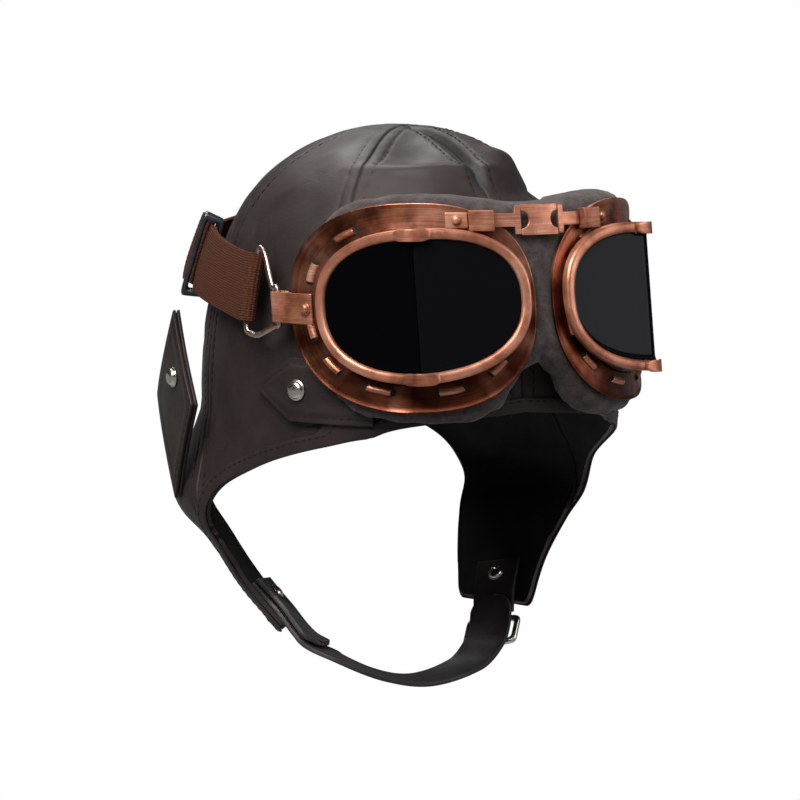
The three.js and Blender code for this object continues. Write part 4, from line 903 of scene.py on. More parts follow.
def level_of(height):
    """Level on the cap at a height above the brow."""
    height = np.asarray(height, float)
    share = np.clip(height / CROWN_HEIGHT, 0, 1)
    crown = np.arccos(share ** (CROWN_FULLNESS / 2)) / (np.pi / 2)
    return np.where(height <= 0, 1 - height / FLAP_DROP, crown)


def rim_relief(rim, rows):
    """Height in mm at a distance in from a sewn rim."""
    return sum(height * hump(rim, at, width) for height, at, width in rows)


def tab_spot(hand, along, across, lift):
    """Point on a brow tab: along from its tip, across from -0.5 to 0.5, in mm off the cap."""
    opening = np.clip(along / TAB_POINT, 0, 1)
    height = TAB_RISE + TAB_HEIGHT / 2 + across * TAB_HEIGHT * np.maximum(0.02, opening)
    azimuth = TAB_TIP_AZIMUTH - along / (HALF_WIDTH * math.radians(1))
    return on_cap(hand * azimuth, level_of(height), lift + 0 * height)


TAB_TOP = TAB_LIFT + TRIM_LEATHER
tab_rows = []
for hand, word in CAP_SIDES:
    def tab_place(u, v):
        along = TAB_LENGTH * u**TAB_CROWD
        rim = np.minimum(np.minimum(v, 1 - v) * TAB_HEIGHT * np.clip(along / TAB_POINT, 0, 1), along)
        return tab_spot(hand, along, v - 0.5, TAB_TOP + rim_relief(rim, TAB_RELIEF))

    tab = shape_skin(f"brow_tab_{word}_leather", 60, 30, tab_place, crown_outward)
    thicken(tab, TRIM_LEATHER, edge=EDGE_ROUND)
    finish_piece(tab, cap_leather, "cap_leather", f"brow_tab_{word}")
    azimuth = hand * (TAB_TIP_AZIMUTH - (TAB_POINT + TAB_SNAP_IN) / (HALF_WIDTH * math.radians(1)))
    level = level_of(TAB_RISE + TAB_HEIGHT / 2)
    pressed_cap(f"tab_snap_{word}_cap", on_cap(azimuth, level, TAB_TOP + GAP), cap_normal(azimuth, level),
                SNAP_DIAMETER, SNAP_DOME, nickel, "nickel", f"tab_snap_{word}")
    for sign in (1, -1):
        along = np.linspace(TAB_ROW_FROM, TAB_LENGTH - TAB_ROW_TO, 80)
        inset = 0.5 - TAB_ROW_IN / (TAB_HEIGHT * np.clip(along / TAB_POINT, 0.12, 1))
        line = tab_spot(hand, along, sign * np.maximum(inset, 0), TAB_TOP - TAB_ROW_SUNK + 0 * along)
        tab_rows.append((line, unit(crown_outward(line))))
sew("tab_stitches", tab_rows)

# Ear covers. A stiff kite of two layers of leather over each ear, sewn together round the edge,
# fixed at its foot to the flap and standing off the cap above, with a snap in the middle.
COVER_TOP = 44
COVER_BOTTOM = -35
COVER_MIDDLE = 6
COVER_FRONT = 18
COVER_REAR = 27
COVER_HOLLOW = 1.2
COVER_RIM = 60
KITE_IN_RADIUS = 16
COVER_CENTRE_Y = 24
COVER_LAYER = 1.5
COVER_TURN_IN = 4
COVER_SNAP_Z = 16
COVER_ROW_IN = 1.7
COVER_ROW_SUNK = 0.1
COVER_SAMPLES = 60
COVER_RELIEF = [(0.3, 5.5, 2.5), (-0.2, 3, 0.8)]
# Along and height of the kite's corners: top, rear, bottom, front.
KITE = np.array([
    [0, COVER_TOP], [COVER_REAR, COVER_MIDDLE], [0, COVER_BOTTOM], [-COVER_FRONT, COVER_MIDDLE],
])
# The sign of x in space, for the wearer's right and left.
SPACE_SIDES = ((-1, "right"), (1, "left"))


def straight_out(points):
    """Away from the middle plane."""
    return points * [1, 0, 0]


def bowed(along, across):
    return np.sin(np.pi * along) * np.abs(2 * across - 1) ** 4 * np.sign(2 * across - 1)


def kite_spot(u, v, inset=0.0):
    """Along and height on the kite; its four corners are the corners of the unit square."""
    shrink = 1 - inset / KITE_IN_RADIUS
    u, v = (u - 0.5) * shrink + 0.5, (v - 0.5) * shrink + 0.5
    corners = [(1 - u) * (1 - v), u * (1 - v), u * v, (1 - u) * v]
    spot = sum(weight[..., None] * corner for weight, corner in zip(corners, KITE))
    spot[..., 0] += COVER_HOLLOW * (bowed(u, v) - bowed(v, u))
    return spot


def cover_point(hand, spot, face):
    """Point of a kite whose front face stands at a distance from the middle plane. The kite turns in
    towards its rear corner."""
    turn_in = np.maximum(0, spot[:, 0]) ** 2 * COVER_TURN_IN / COVER_REAR**2
    return np.stack([hand * (face - turn_in), COVER_CENTRE_Y + spot[:, 0], spot[:, 1]], -1)


cover_rows = []
for hand, word in SPACE_SIDES:
    low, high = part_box(f"ear_cover_back_{word}")
    inner_face = min(abs(low.x), abs(high.x)) / MM + COVER_TURN_IN
    for layer, name in ((0, "ear_cover_back"), (1, "ear_cover")):
        base = inner_face + layer * (COVER_LAYER + GAP)

        def cover_place(u, v):
            rim = np.minimum(np.minimum(u, 1 - u), np.minimum(v, 1 - v)) * COVER_RIM
            face = base + COVER_LAYER + layer * rim_relief(rim, COVER_RELIEF)
            return cover_point(hand, kite_spot(u, v), face)

        cover = shape_skin(f"{name}_{word}_leather", 44, 44, cover_place, straight_out)
        thicken(cover, COVER_LAYER, edge=EDGE_ROUND)
        finish_piece(cover, cap_leather, "cap_leather", f"{name}_{word}")
    outer = inner_face + 2 * COVER_LAYER + GAP
    pressed_cap(f"ear_snap_{word}_cap", (hand * (outer + GAP), COVER_CENTRE_Y, COVER_SNAP_Z), (hand, 0, 0),
                SNAP_DIAMETER, SNAP_DOME, nickel, "nickel", f"ear_snap_{word}")
    go = np.linspace(0, 1, COVER_SAMPLES)
    start, end = 0 * go, 0 * go + 1
    for u, v in ((go, start), (end, go), (1 - go, end), (start, 1 - go)):
        line = cover_point(hand, kite_spot(u, v, inset=COVER_ROW_IN), outer - COVER_ROW_SUNK)
        cover_rows.append((line, np.tile([hand, 0.0, 0.0], (COVER_SAMPLES, 1))))
sew("cover_stitches", cover_rows)

# Goggle pad. One piece of foam behind both eye cups, covered in grey-brown suede cloth that is
# gathered round the edge. It is cut away behind each lens and arched over the nose.
GOGGLE_CENTRE = 52
FACE_HALF_WIDTH = 87
FACE_REACH = 113
LEAN = 0.15
PAD_HEIGHT = 89
PAD_AZIMUTH = 65
FLANGE_HALF_HEIGHT = 40
FLANGE_AZIMUTH = 33
FLANGE_SPREAD = 30.5
OUTLINE_FULLNESS = 2.35
# Azimuth share, then the pad's top and bottom as shares of its height.
PAD = np.array([
    [0.0, 0.45, -0.24], [0.1, 0.455, -0.3], [0.18, 0.47, -0.43], [0.32, 0.485, -0.5],
    [0.5, 0.49, -0.51], [0.68, 0.46, -0.5], [0.82, 0.37, -0.4], [0.93, 0.22, -0.26],
    [1.0, 0.06, -0.13],
])
PAD_VOXEL = 2.6 * MM
PAD_SWELL = 2.6 * MM
GATHER_PITCH = 8.5
GATHER_DEPTH = 1.0
GATHER_FROM = 0.6
GATHER_UNDER = 0.35
GATHER_SWAY = 1.6
GATHER_FADE = 4.5
GATHER_SHIFT = 3.7
PAD_ROUND = 250
PAD_LUMPS = 0.35
PAD_GROW = 6.5
SWAY_SIZE = 14
LUMP_SIZE = 6
# Share of the flange's outline at which each begins, and over how much more it comes to the full.
SWELL_EDGE = (1.0, 0.25)
GATHER_EDGE = (0.95, 0.2)
GROW_EDGE = (0.8, 0.3)
GROW_ASIDE = (0.3, 0.5)
CLOTH_PRESSURE = 4
CLOTH_FRAMES = 20


def flange_share(azimuth, z):
    """0 in the middle of the eye, 1 at the outline of the flange."""
    return (np.abs((azimuth - FLANGE_AZIMUTH) / FLANGE_SPREAD) ** OUTLINE_FULLNESS
            + np.abs((z - GOGGLE_CENTRE) / FLANGE_HALF_HEIGHT) ** OUTLINE_FULLNESS)


suede = new_finish("pebbled_suede", (0.05, 0.038, 0.037), 0.85, sheen_weight=0.12,
                   sheen_roughness=0.5, specular_ior_level=0.2)
SUEDE_TONES = [
    (0.3, (0.034, 0.025, 0.0245)), (0.5, (0.053, 0.04, 0.039)), (0.7, (0.08, 0.063, 0.061)),
]
mottle(suede, 260, SUEDE_TONES)
pebbles = add_node(suede, "ShaderNodeTexVoronoi", Scale=800)
wire(suede, coordinates(suede), "Vector", pebbles, "Vector")
relief(suede, pebbles, "Distance", strength=0.5, depth=0.4)
nap = add_node(suede, "ShaderNodeTexNoise", Scale=330, Detail=8.0)
wire(suede, coordinates(suede), "Vector", nap, "Vector")
relief(suede, nap, "Fac", strength=0.15, depth=0.2)

pad = frame["nodes"]["goggle_pad"].copy()
pad.data = pad.data.copy()
pad.name = "goggle_pad_cushion"
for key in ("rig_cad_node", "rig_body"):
    del pad[key]
pad.parent = None
bpy.context.collection.objects.link(pad)
pad.data.materials.clear()
in_edit_mode(pad, bpy.ops.mesh.remove_doubles, threshold=0.00001)
apply_modifier(pad, "REMESH", mode="VOXEL", voxel_size=PAD_VOXEL)
apply_modifier(pad, "SMOOTH", factor=0.5, iterations=4)


def pad_reading(points):
    """Azimuth, and distance in mm inside the pad's outline, of points in mm."""
    y = points[:, 1] - LEAN * (points[:, 2] - GOGGLE_CENTRE)
    azimuth = np.degrees(np.arctan2(np.abs(points[:, 0]) / FACE_HALF_WIDTH, -y / FACE_REACH))
    share = np.clip(azimuth / PAD_AZIMUTH, 0, 1)
    top = GOGGLE_CENTRE + table_value(PAD, share, 1) * PAD_HEIGHT
    bottom = GOGGLE_CENTRE + table_value(PAD, share, 2) * PAD_HEIGHT
    inside = np.minimum(top - points[:, 2], points[:, 2] - bottom)
    return azimuth, np.minimum(inside, (1 - share) * PAD_AZIMUTH * math.radians(FACE_HALF_WIDTH))


rest_corners = corners_of(pad)
cloth = pad.modifiers.new("cloth", "CLOTH")
cloth.settings.use_pressure = True
cloth.settings.uniform_pressure_force = CLOTH_PRESSURE
cloth.settings.effector_weights.gravity = 0
cloth.point_cache.frame_start = 1
cloth.point_cache.frame_end = CLOTH_FRAMES
for step in range(1, CLOTH_FRAMES + 1):
    scene.frame_set(step)
bpy.context.view_layer.objects.active = pad
bpy.ops.object.modifier_apply(modifier="cloth")
scene.frame_set(1)

# The cloth swells only where it is free of the flanges.
azimuth, _ = pad_reading(rest_corners / MM)
free = ease(flange_share(azimuth, rest_corners[:, 2] / MM), *SWELL_EDGE)
moved = corners_of(pad) - rest_corners
size = np.maximum(np.linalg.norm(moved, axis=1, keepdims=True), 1e-9)
swollen = rest_corners + moved * np.minimum(1, PAD_SWELL * free[:, None] / size)
move_corners(pad, swollen / MM)
apply_modifier(pad, "SUBSURF", levels=1, render_levels=1)

# Gathers round the edge, small lumps all over, and the rim drawn out to the photographed outline.
points = corners_of(pad) / MM
azimuth, inside = pad_reading(points)
above = points[:, 2] - GOGGLE_CENTRE
normals = np.empty(len(pad.data.vertices) * 3)
pad.data.vertices.foreach_get("normal", normals)
normals = normals.reshape(-1, 3)
run = np.degrees(np.arctan2(above, azimuth - FLANGE_AZIMUTH)) / 360 * PAD_ROUND
side_shift = np.where(points[:, 0] < 0, 0.0, GATHER_SHIFT)
sway = GATHER_SWAY * rolling(points, SWAY_SIZE, 5)
gather = np.sin((run + side_shift) * 2 * np.pi / GATHER_PITCH + sway)
near_edge = np.exp(-np.maximum(inside - 1, 0) / GATHER_FADE)
share = flange_share(azimuth, points[:, 2])
free = ease(share, *GATHER_EDGE)
temple = ease(azimuth / PAD_AZIMUTH, GATHER_FROM, 1 - GATHER_FROM)
strength = np.maximum(temple, GATHER_UNDER * (above < 0))
lumps = PAD_LUMPS * rolling(points, LUMP_SIZE, 7)
height = (GATHER_DEPTH * gather * near_edge * strength + lumps) * free
points = points + normals * height[:, None]
turned = np.radians(azimuth)
round_face = np.stack([np.sign(points[:, 0]) * np.cos(turned) * FACE_HALF_WIDTH,
                       np.sin(turned) * FACE_REACH, 0 * turned], -1)
aside = (azimuth - FLANGE_AZIMUTH) * math.radians(FACE_HALF_WIDTH)
above = points[:, 2] - GOGGLE_CENTRE
reach = np.maximum(np.hypot(aside, above), 1)
grow = PAD_GROW * ease(share, *GROW_EDGE) * ease(aside / reach, *GROW_ASIDE)
points = points + unit(round_face) * (grow * aside / reach)[:, None]
points[:, 2] += grow * above / reach
move_corners(pad, points)
finish_piece(pad, suede, "pad_suede", "goggle_pad")

# Flanges. A thin brushed copper plate round each eye, bent to the face, with short raised louvres
# pressed out of it that grip the pad behind.
FLANGE_THICK = 1.2
FLANGE_RISE = 2
CUP_HALF_HEIGHT = 29
CUP_SPREAD = 23
LOUVRE_TURNS = (0.06, 0.16, 0.36, 0.45, 0.535, 0.62, 0.71, 0.8, 0.89, 0.97)
LOUVRE_LENGTH = 9
LOUVRE_WIDTH = 3
LOUVRE_RISE = 1.3
LOUVRE_INSET = 7.4
LOUVRE_THICK = 0.45
LOUVRE_ARCH = 0.6
HOLE_HALF_TURN = 0.0055
HOLE_WIDTH = 2.6
HOLE_PROUD = 0.12
HOLE_THICK = 0.1
LIP_HEIGHT = 0.5
LIP_WIDTH = 0.07
COPPER_TONES = [
    (0.28, (0.16, 0.05, 0.029)), (0.43, (0.52, 0.185, 0.105)), (0.6, (0.8, 0.37, 0.245)),
    (0.76, (0.93, 0.57, 0.43)),
]
# Tones of the painted highlight bands on the round plates, darkest at the bottom and white at the top.
GLINT_TONES = [(0.36, (0.2, 0.13, 0.11)), (0.5, (0.55, 0.48, 0.45)), (0.64, (1, 1, 1))]
SCRATCH_TONES = [(0.32, (0.3, 0.24, 0.2)), (0.66, (1.0, 1.0, 1.0))]


def level_out(points):
    """Away from the upright middle line."""
    return points * [1, 1, 0]


def face_normal(hand, azimuth):
    """Outward direction of the ellipse that carries the goggles."""
    a = np.radians(np.asarray(azimuth, float))
    return unit(np.stack([hand * np.sin(a) / FACE_HALF_WIDTH, -np.cos(a) / FACE_REACH, 0 * a], -1))


def face_point(hand, azimuth, z, lift):
    """Point on the leaning ellipse that carries the goggles, in mm off its surface."""
    hand, azimuth, z, lift = alike(hand, azimuth, z, lift)
    a = np.radians(azimuth)
    point = np.stack([hand * FACE_HALF_WIDTH * np.sin(a), -FACE_REACH * np.cos(a), z], -1)
    point = point + face_normal(hand, azimuth) * lift[..., None]
    point[..., 1] += LEAN * (z - GOGGLE_CENTRE)
    return point


def round_outline(turn, half_across, half_up):
    across, up = squared(turn, OUTLINE_FULLNESS)
    return across * half_across, up * half_up


def eye_outline(turn, inset, spread, half_height):
    """Azimuth and height of an outline round the eye, at a distance in from it."""
    a, z = round_outline(turn, spread - np.degrees(inset / FACE_HALF_WIDTH), half_height - inset)
    return FLANGE_AZIMUTH + a, GOGGLE_CENTRE + z - a / spread * FLANGE_RISE


def flange_outline(turn, inset):
    return eye_outline(turn, inset, FLANGE_SPREAD, FLANGE_HALF_HEIGHT)


def cup_outline(turn, inset):
    return eye_outline(turn, inset, CUP_SPREAD, CUP_HALF_HEIGHT)


def painted_glints(finish):
    """Painted highlight bands that fan out round a plate from the turn in its UV, lighter at the top."""
    split = add_node(finish, "ShaderNodeSeparateXYZ")
    wire(finish, coordinates(finish, "UV", (2 * math.pi, 1, 1)), "Vector", split, "Vector")
    ring = add_node(finish, "ShaderNodeCombineXYZ")
    for way, axis in (("COSINE", "X"), ("SINE", "Y")):
        turned = add_node(finish, "ShaderNodeMath")
        turned.operation = way
        finish.node_tree.links.new(split.outputs["X"], turned.inputs[0])
        finish.node_tree.links.new(turned.outputs["Value"], ring.inputs[axis])
    bands = add_node(finish, "ShaderNodeTexNoise", Scale=1.9, Detail=2.0, Roughness=0.5)
    wire(finish, ring, "Vector", bands, "Vector")
    # Painted light: the sine of the turn lifts the top of the plate and darkens its bottom.
    lit = add_node(finish, "ShaderNodeMath")
    lit.operation = "MULTIPLY_ADD"
    finish.node_tree.links.new(turned.outputs["Value"], lit.inputs[0])
    lit.inputs[1].default_value = 0.15
    finish.node_tree.links.new(bands.outputs["Fac"], lit.inputs[2])
    return ramp_of(finish, lit, "Value", GLINT_TONES).outputs["Color"]


def copper_finish(name, kind, stretch, metallic, with_painted_glints=False):
    """Old brushed copper: fine scratches one way, dark patina in cloudy patches, and painted glints if
    asked.
    """
    finish = new_finish(name, (0.55, 0.24, 0.135), 0.35, metallic)
    tint = mottle(finish, 55, COPPER_TONES).outputs["Color"]
    brush = add_node(finish, "ShaderNodeTexNoise", Scale=1.0, Detail=5.0, Roughness=0.7)
    wire(finish, coordinates(finish, kind, stretch), "Vector", brush, "Vector")
    if with_painted_glints:
        tint = blended(finish, 1.0, tint, painted_glints(finish), "MULTIPLY")
    scratches = ramp_of(finish, brush, "Fac", SCRATCH_TONES)
    tint = blended(finish, 0.75, tint, scratches.outputs["Color"], "MULTIPLY")
    finish.node_tree.links.new(tint, shader_of(finish).inputs["Base Color"])
    uneven_gloss(finish, scale=90, low=0.24, high=0.52)
    relief(finish, brush, "Fac", strength=0.25, depth=0.12)
    return finish


hoop_copper = copper_finish("brushed_copper_round", "UV", (6, 160, 1), 1.0, with_painted_glints=True)
rim_copper = copper_finish("satin_copper_rim", "UV", (6, 160, 1), 0.62)
plate_copper = copper_finish("brushed_copper_plate", "Object", (60, 60, 2400), 0.65)
# A near-black sheet at each louvre end: painted shade in the open ends.
shadow_hole = new_finish("painted_hole_shade", (0.004, 0.003, 0.003), 0.8)


def join(parts, name):
    """Makes one mesh of several."""
    deselect_all()
    for part in parts:
        part.select_set(True)
    bpy.context.view_layer.objects.active = parts[0]
    bpy.ops.object.join()
    parts[0].name = name
    return parts[0]


for hand, word in SPACE_SIDES:
    def flange_place(turn, across, up):
        outer, inner = flange_outline(turn, 0), cup_outline(turn, -GAP)
        share = (across + 1) / 2
        lip = LIP_HEIGHT * hump(share, 0, LIP_WIDTH) * (up > 0)
        a, z = (i * share + o * (1 - share) for o, i in zip(outer, inner))
        return face_point(hand, a, z, FLANGE_THICK / 2 * up + lip)

    flange = shape_hoop(f"flange_{word}_plate", 160, 20, flange_place, 8)
    finish_piece(flange, hoop_copper, "copper", f"flange_{word}")

    louvres, hole_shades = [], []
    half = LOUVRE_LENGTH / (2 * math.pi * FLANGE_HALF_HEIGHT) / 2
    for turn in LOUVRE_TURNS:
        def louvre_place(u, v):
            a, z = flange_outline(turn + (u * 2 - 1) * half, LOUVRE_INSET + (v - 0.5) * LOUVRE_WIDTH)
            return face_point(hand, a, z, FLANGE_THICK / 2 + LOUVRE_RISE * np.sin(np.pi * v) ** LOUVRE_ARCH)

        louvre = shape_skin("louvre", 14, 12, louvre_place, level_out)
        louvres.append(thicken(louvre, LOUVRE_THICK, edge=0.1))
        # A thin dark sheet just proud of the plate at each end of the louvre stands for the shade in its
        # opening.
        for end in (-1, 1):
            def hole_place(u, v):
                at = turn + end * half + (u * 2 - 1) * HOLE_HALF_TURN
                a, z = flange_outline(at, LOUVRE_INSET + (v - 0.5) * HOLE_WIDTH)
                return face_point(hand, a, z, FLANGE_THICK / 2 + HOLE_PROUD)

            hole = shape_skin("hole", 4, 4, hole_place, level_out)
            hole_shades.append(thicken(hole, HOLE_THICK))
    finish_piece(join(louvres, f"louvres_{word}"), plate_copper, "copper")
    finish_piece(join(hole_shades, f"louvre_hole_shades_{word}"), shadow_hole, "copper")

# Eye cups, lens rims and panes. Each cup rises from the flange to the bent line of its two panes.
# A copper channel rim grips the dark glass, and a small clamp covers the joint at top and bottom.
NOSE = np.array([0.08 * FACE_HALF_WIDTH, -1.018 * FACE_REACH])
RIDGE = np.array([0.586 * FACE_HALF_WIDTH, -0.929 * FACE_REACH])
TEMPLE = np.array([0.828 * FACE_HALF_WIDTH, -0.602 * FACE_REACH])
CUP_WALL = 1.2
CUP_LEAST_SLANT = 0.36
RIM_WIDTH = 4.2
RIM_DEPTH = 4.2
RIDGE_ROUND = 1.5
LENS_LIFT = 1.5
LENS_HALF_LENGTH = 0.517 * FACE_HALF_WIDTH
LENS_HALF_HEIGHT = 29.3
LENS_RISE = 3
LENS_THICK = 2
CUP_INSET = 1
PANE_SET = 1
PANE_JOINT = 0.16
CLAMP_TURN = 0.03
CLAMP_PROUD = 0.25
CLAMP_THICK = 0.8
CLAMP_ROUND = 0.7
CLAMP_EDGE = 0.6
PANE_END = 0.998
KNEE_SHARE = 0.15
MITRE_LEAST = 0.7
dark_glass = new_finish("dark_glass", (0.004, 0.004, 0.005), 0.06, specular_ior_level=0.06)
black_glass = new_finish("black_glass", (0.0015, 0.0015, 0.002), 0.09, specular_ior_level=0.03)
dark_cup = new_finish("blackened_copper", (0.03, 0.02, 0.018), 0.12, coat_weight=0.8,
                      coat_roughness=0.05)
mottle(dark_cup, 90, [(0.35, (0.008, 0.006, 0.006)), (0.7, (0.06, 0.026, 0.018))])


def lens_point(hand, s, height, out):
    """Point on the panes: s from the nose through the ridge at 0 to the temple."""
    hand, s, height, out = alike(hand, s, height, out)
    inner, outer = unit(NOSE - RIDGE), unit(TEMPLE - RIDGE)
    inner_out, outer_out = np.array([-inner[1], inner[0]]), np.array([outer[1], -outer[0]])
    blend = np.clip(s / RIDGE_ROUND * 0.5 + 0.5, 0, 1)[..., None]
    near = (s < 0)[..., None]
    point = RIDGE + np.where(near, inner, outer) * np.abs(s)[..., None]
    normal = unit(inner_out * (1 - blend) + outer_out * blend)
    facing = np.sum(normal * np.where(near, inner_out, outer_out), -1)
    mitre = np.where(np.abs(s) < RIDGE_ROUND, 1 / np.maximum(MITRE_LEAST, facing), 1.0)
    point = point + normal * (out * mitre)[..., None]
    z = GOGGLE_CENTRE + LENS_LIFT + height - s / LENS_HALF_LENGTH * LENS_RISE
    return np.stack([hand * point[..., 0], point[..., 1] + LEAN * (z - GOGGLE_CENTRE), z], -1)


def lens_outline(turn, inset):
    return round_outline(turn, LENS_HALF_LENGTH - inset, LENS_HALF_HEIGHT - inset)


for hand, word in SPACE_SIDES:
    def cup_place(turn, across, up):
        """across runs from the flange to the rim, up from the inside of the wall to the outside."""
        share = (across + 1) / 2
        outer = face_point(hand, *cup_outline(turn, 0), FLANGE_THICK / 2 + CUP_WALL)
        outer_top = lens_point(hand, *lens_outline(turn, CUP_INSET), -GAP)
        slant = np.sum(unit(outer_top - outer) * face_normal(hand, cup_outline(turn, 0)[0]), -1)
        wall = CUP_WALL / np.maximum(CUP_LEAST_SLANT, slant) * (1 - up) / 2
        foot = face_point(hand, *cup_outline(turn, wall), -FLANGE_THICK / 2)
        knee = face_point(hand, *cup_outline(turn, wall), FLANGE_THICK / 2 + CUP_WALL)
        top = lens_point(hand, *lens_outline(turn, CUP_INSET + wall), -GAP)
        lower = ease(share, 0, KNEE_SHARE)[:, None]
        upper = ease(share, KNEE_SHARE, 1 - KNEE_SHARE)[:, None]
        below = share[:, None] < KNEE_SHARE
        return np.where(below, foot + (knee - foot) * lower, knee + (top - knee) * upper)

    cup = shape_hoop(f"eye_cup_{word}_wall", 160, 24, cup_place, 7)
    finish_piece(cup, dark_cup, "copper", f"eye_cup_{word}")

    def rim_place(turn, across, up):
        s, h = lens_outline(turn, RIM_WIDTH * (1 - across) / 2)
        return lens_point(hand, s, h, RIM_DEPTH * (up + 1) / 2)

    rim = shape_hoop(f"lens_rim_{word}_channel", 200, 20, rim_place, 3.2)
    finish_piece(rim, rim_copper, "copper", f"lens_rim_{word}")

    for side, place_word in ((-1, "inner"), (1, "outer")):
        def pane_place(u, v):
            reach, _ = lens_outline(0.0, RIM_WIDTH + GAP)
            s = side * (PANE_JOINT + (reach - PANE_JOINT) * np.sin(u * np.pi / 2) * PANE_END)
            share = np.clip(np.abs(s) / reach, 0, 1)
            opening = (1 - share**OUTLINE_FULLNESS) ** (1 / OUTLINE_FULLNESS)
            high = (LENS_HALF_HEIGHT - RIM_WIDTH - GAP) * opening
            return lens_point(hand, s, (v * 2 - 1) * high, PANE_SET + LENS_THICK)

        pane = shape_skin(f"lens_{place_word}_{word}_pane", 48, 24, pane_place, level_out)
        glass = dark_glass if place_word == "inner" else black_glass
        finish_piece(thicken(pane, LENS_THICK, edge=0.1), glass, "lens_glass",
                     f"lens_{place_word}_{word}")

    for turn, place_word in ((0.25, "top"), (0.75, "bottom")):
        def clamp_place(u, v):
            narrow = np.sqrt(1 - CLAMP_ROUND * (2 * v - 1) ** 4)
            s, h = lens_outline(turn + (u - 0.5) * CLAMP_TURN * narrow,
                                -CLAMP_PROUD + (RIM_WIDTH + 2 * CLAMP_PROUD) * v)
            saddle = np.sqrt(np.maximum(0, 1 - (2 * u - 1) ** 4))
            thick = CLAMP_THICK * (CLAMP_EDGE + (1 - CLAMP_EDGE) * saddle)
            return lens_point(hand, s, h, RIM_DEPTH + GAP + thick)

        clamp = shape_skin(f"rim_clamp_{place_word}_{word}_plate", 8, 8, clamp_place, level_out)
        finish_piece(thicken(clamp, CLAMP_THICK, edge=0.25), plate_copper, "copper",
                     f"rim_clamp_{place_word}_{word}")

# Bridge. End plates riveted to the flanges carry small boxes, whose flat links hook into a centre
# plate with round bites, so that the two halves fold.
BRIDGE_Z = 85.7
BRIDGE_HEIGHT = 6
BRIDGE_THICK = 1.2
END_FROM = 28
END_LENGTH = 7.5
BOX_FROM = 19
BOX_HEIGHT = 8
BOX_THICK = 3.6
LINK_FROM = 8.2
LINK_FLARE = 11
CENTRE_HEIGHT = 12
BITE_DEEP = 3.2
BITE_RADIUS = 3.4
LINK_HEAD = 0.22
LINK_NARROW = 0.85
BRIDGE_RIVET_SHARE = 0.8
RIVET_DIAMETER = 5
RIVET_DOME = 1.8
SEAT = FLANGE_THICK / 2 + GAP


def bridge_point(x, z, lift):
    """Point over the nose at a sideways distance and a height from the bridge's middle."""
    azimuth = np.degrees(np.arcsin(np.clip(np.abs(x) / FACE_HALF_WIDTH, 0, 1)))
    return face_point(np.where(x < 0, -1, 1), azimuth, BRIDGE_Z + z, lift)


def bridge_plate(name, start, end, half, thick, slot_node, edge=0.3):
    def place(u, v):
        x = start + (end - start) * u
        return bridge_point(x, (v * 2 - 1) * half(u), SEAT + thick + 0 * u)

    plate = shape_skin(name, 48, 8, place, level_out)
    finish_piece(thicken(plate, thick, edge=edge), plate_copper, "copper", slot_node)


for hand, word in SPACE_SIDES:
    bridge_plate(f"bridge_end_{word}_plate", hand * END_FROM, hand * (END_FROM + END_LENGTH),
                 lambda u: BRIDGE_HEIGHT / 2 + 0 * u, BRIDGE_THICK, f"bridge_end_{word}")
    bridge_plate(f"bridge_box_{word}_case", hand * BOX_FROM, hand * (END_FROM - GAP),
                 lambda u: BOX_HEIGHT / 2 + 0 * u, BOX_THICK, f"bridge_box_{word}", 0.6)
    bridge_plate(f"bridge_link_{word}_strip", hand * LINK_FROM, hand * (BOX_FROM - GAP),
                 lambda u: np.where(u < LINK_HEAD, LINK_FLARE, BRIDGE_HEIGHT * LINK_NARROW) / 2,
                 BRIDGE_THICK, f"bridge_link_{word}")
    middle = END_FROM + END_LENGTH / 2
    tilt = math.degrees(math.asin(middle / FACE_HALF_WIDTH))
    seat = bridge_point(np.array(hand * middle), 0.0, SEAT + BRIDGE_THICK + GAP)
    pressed_cap(f"bridge_rivet_{word}_head", seat, face_normal(hand, tilt),
                RIVET_DIAMETER * BRIDGE_RIVET_SHARE, RIVET_DOME * BRIDGE_RIVET_SHARE,
                plate_copper, "copper", f"bridge_rivet_{word}")


def centre_place(u, v):
    z = (2 * v - 1) * CENTRE_HEIGHT / 2
    side = LINK_FROM - GAP - BITE_DEEP * np.sqrt(np.maximum(0, 1 - (z / BITE_RADIUS) ** 2))
    return bridge_point((2 * u - 1) * side, z, SEAT + BRIDGE_THICK + 0 * u)


centre = shape_skin("bridge_centre_plate", 12, 48, centre_place, level_out)
finish_piece(thicken(centre, BRIDGE_THICK, edge=0.3), plate_copper, "copper", "bridge_centre")

# Goggle strap. Brown knitted elastic that runs round the back of the cap. At the wearer's right it
# doubles back through the slider to a loose end, and at the left a short end is sewn down.
WEB_WIDTH = 25
WEB_THICK = 1.5
WEB_FRONT_AZIMUTH = 74
WEB_FRONT_Z = 54
WEB_BACK_Z = 68
SLIDER_AZIMUTH = 118
TAIL_AZIMUTH = 128
TAIL_HELD = 2
TAIL_STAND = 7
SEWN_AZIMUTH = 96
FOLD_CLOSES = 14
LOOP_WIRE = 1.8
BAR_SAG = 1.4
CORDS = 14
CORD_HEIGHT = 0.12
WEB_LOOK = 0.2
# Azimuth and stand-off share of the strap.
WEB = np.array([[70, 0.27], [82, 0.19], [96, 0.14], [110, 0.175], [122, 0.17], [138, 0.1], [180, 0.07]])


def arc(azimuth):
    """Distance round the cap from the brow's middle."""
    return math.radians(azimuth) * HALF_WIDTH


